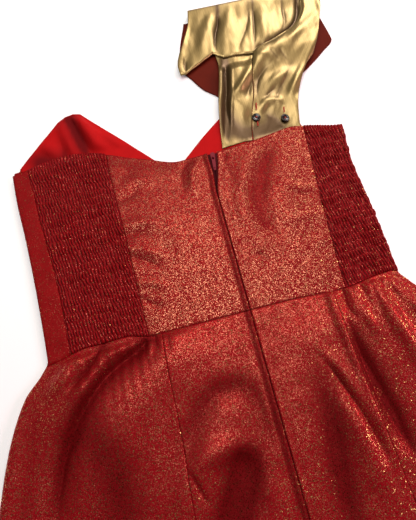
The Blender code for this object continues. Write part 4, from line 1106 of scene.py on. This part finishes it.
def set_on_sash(points, name):
    """Lean a button's points about y and lift them to the sash, as the sewn button sits."""
    x, y, tilt = BUTTONS[name]
    tilt = math.radians(tilt)
    lean = np.array(((math.cos(tilt), 0, math.sin(tilt)), (0, 1, 0), (-math.sin(tilt), 0, math.cos(tilt))))
    seat = float(sash_place(np.array(x), np.array(y))[2]) + 1.3 + BUTTON_RADIUS * math.sin(tilt)
    return points @ lean.T + (x, y, seat)


for name in BUTTONS:
    radius, height = np.array(BUTTON_PROFILE, float).T
    turn = 2 * math.pi * np.arange(BUTTON_SIDES) / BUTTON_SIDES
    rings = np.stack((radius[:, None] * np.cos(turn), radius[:, None] * np.sin(turn),
                      height[:, None] + 0 * turn), -1)
    piece = show(name + "_turned", set_on_sash(rings.reshape(-1, 3), name),
                 ring_faces(len(radius), BUTTON_SIDES), dark_button)
    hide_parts(name)
    t = np.linspace(0, 1, 7)
    crossed = [np.stack((a * (2 * t - 1), b * (2 * t - 1), 1.4 + 0.55 * np.sin(math.pi * t)), -1)
               for a, b in ((1.1, 1.1), (1.1, -1.1), (1.3, 0.9), (0.9, -1.3))]
    points, faces = tubes(crossed, 0.42)
    show(name + "_thread", set_on_sash(points, name), faces, red_thread)


# Slider and pull tab
# The concealed zip's slider and its narrow tab: die-cast zinc, lacquered to match the cloth. The tab
# hangs by its eye from the slider's arch and lies down over the zip.
HINGE = (7.0, 197.0, 7.95)
ZIP_LEAN = math.radians(-6.0)
lacquer, _, _ = start_material("lacquered_zinc", Roughness=0.6, Specular_IOR_Level=0.25,
                               Base_Color="#74081c")


def round_corners(outline, times=2):
    """Chaikin's rule: each corner is cut off a quarter of the way along both of its sides."""
    points = np.array(outline, float)
    for _ in range(times):
        after = np.roll(points, -1, axis=0)
        points = np.stack((0.75 * points + 0.25 * after, 0.25 * points + 0.75 * after), 1).reshape(-1, 2)
    return points


def moulded_plate(outlines, low, high, bevel):
    """A flat plate between two levels with rounded edges: its rim, then its holes the other way round."""
    curve = bpy.data.curves.new("plate", "CURVE")
    curve.dimensions = "2D"
    curve.fill_mode = "BOTH"
    curve.extrude = (high - low) / 2 - bevel
    curve.bevel_depth = bevel
    curve.bevel_resolution = 2
    curve.offset = -bevel
    for outline in outlines:
        spline = curve.splines.new("POLY")
        spline.points.add(len(outline) - 1)
        flat = np.concatenate((outline, np.zeros((len(outline), 1)), np.ones((len(outline), 1))), 1)
        spline.points.foreach_set("co", flat.ravel())
        spline.use_cyclic_u = True
    holder = bpy.data.objects.new("plate", curve)
    mesh = bpy.data.meshes.new_from_object(holder)
    mesh.calc_loop_triangles()
    points = np.array([vertex.co for vertex in mesh.vertices], float)
    faces = np.array([triangle.vertices for triangle in mesh.loop_triangles])
    bpy.data.objects.remove(holder)
    bpy.data.curves.remove(curve)
    bpy.data.meshes.remove(mesh)
    return points + (0, 0, (low + high) / 2), faces


def at_hinge(points):
    """Turn points from the hinge's own axes to the zip's lean and set them at the hinge."""
    c, s = math.cos(ZIP_LEAN), math.sin(ZIP_LEAN)
    return points @ np.array(((c, -s, 0), (s, c, 0), (0, 0, 1))).T + HINGE


body = round_corners(((-1.6, -5.0), (1.6, -5.0), (2.6, -2.5), (3.0, 2.0), (3.0, 7.5), (-3.0, 7.5),
                      (-3.0, 2.0), (-2.6, -2.5)), 3)
body_points, body_faces = moulded_plate((body,), -2.6, -1.0, 0.4)
arch = round_corners(((-1.9, -1.4), (-1.9, 1.1), (-1.1, 1.9), (1.1, 1.9), (1.9, 1.1), (1.9, -1.4),
                      (1.0, -1.4), (1.0, 0.5), (0.6, 0.9), (-0.6, 0.9), (-1.0, 0.5), (-1.0, -1.4)))
arch_points, arch_faces = moulded_plate((arch,), -1.0, 1.0, 0.25)
arch_points = arch_points[:, (2, 0, 1)]
piece = show("zip_slider_cast", at_hinge(np.r_[body_points, arch_points]),
             np.r_[body_faces, arch_faces + len(body_points)], lacquer)
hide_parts("zip_slider")
tab = round_corners(((-2.3, 0.45), (-2.3, -4.8), (-1.7, -16.5), (-1.1, -18.5), (1.1, -18.5),
                     (1.7, -16.5), (2.3, -4.8), (2.3, 0.45)), 3)
eye = round_corners(((-1.3, -0.45), (1.3, -0.45), (1.3, -3.3), (-1.3, -3.3)), 2)
turn = 2 * math.pi * np.arange(20) / 20
hole = np.stack((0.7 * np.cos(turn), -0.7 * np.sin(turn) - 15.5), -1)
points, faces = moulded_plate((tab, eye, hole), -0.45, 0.45, 0.2)
piece = show("zip_pull_cast", at_hinge(points), faces, lacquer, body="pull_tab")
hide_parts("zip_pull")

# The coil: one flattened helix of nylon under the slit, as the closed zip's two halves mesh
COIL_PITCH = 1.4
coil_y = np.arange(-172.0, 192.0, 0.14)
coil_turn = 2 * math.pi * coil_y / COIL_PITCH
coil = np.stack((zip_line(coil_y) + 1.1 * np.cos(coil_turn), coil_y,
                 back_height(zip_line(coil_y), coil_y) - 1.45 + 0.22 * np.sin(coil_turn)), -1)
points, faces = tubes([coil], 0.17, 5)
show("zip_coil", points, faces, zip_polyester)
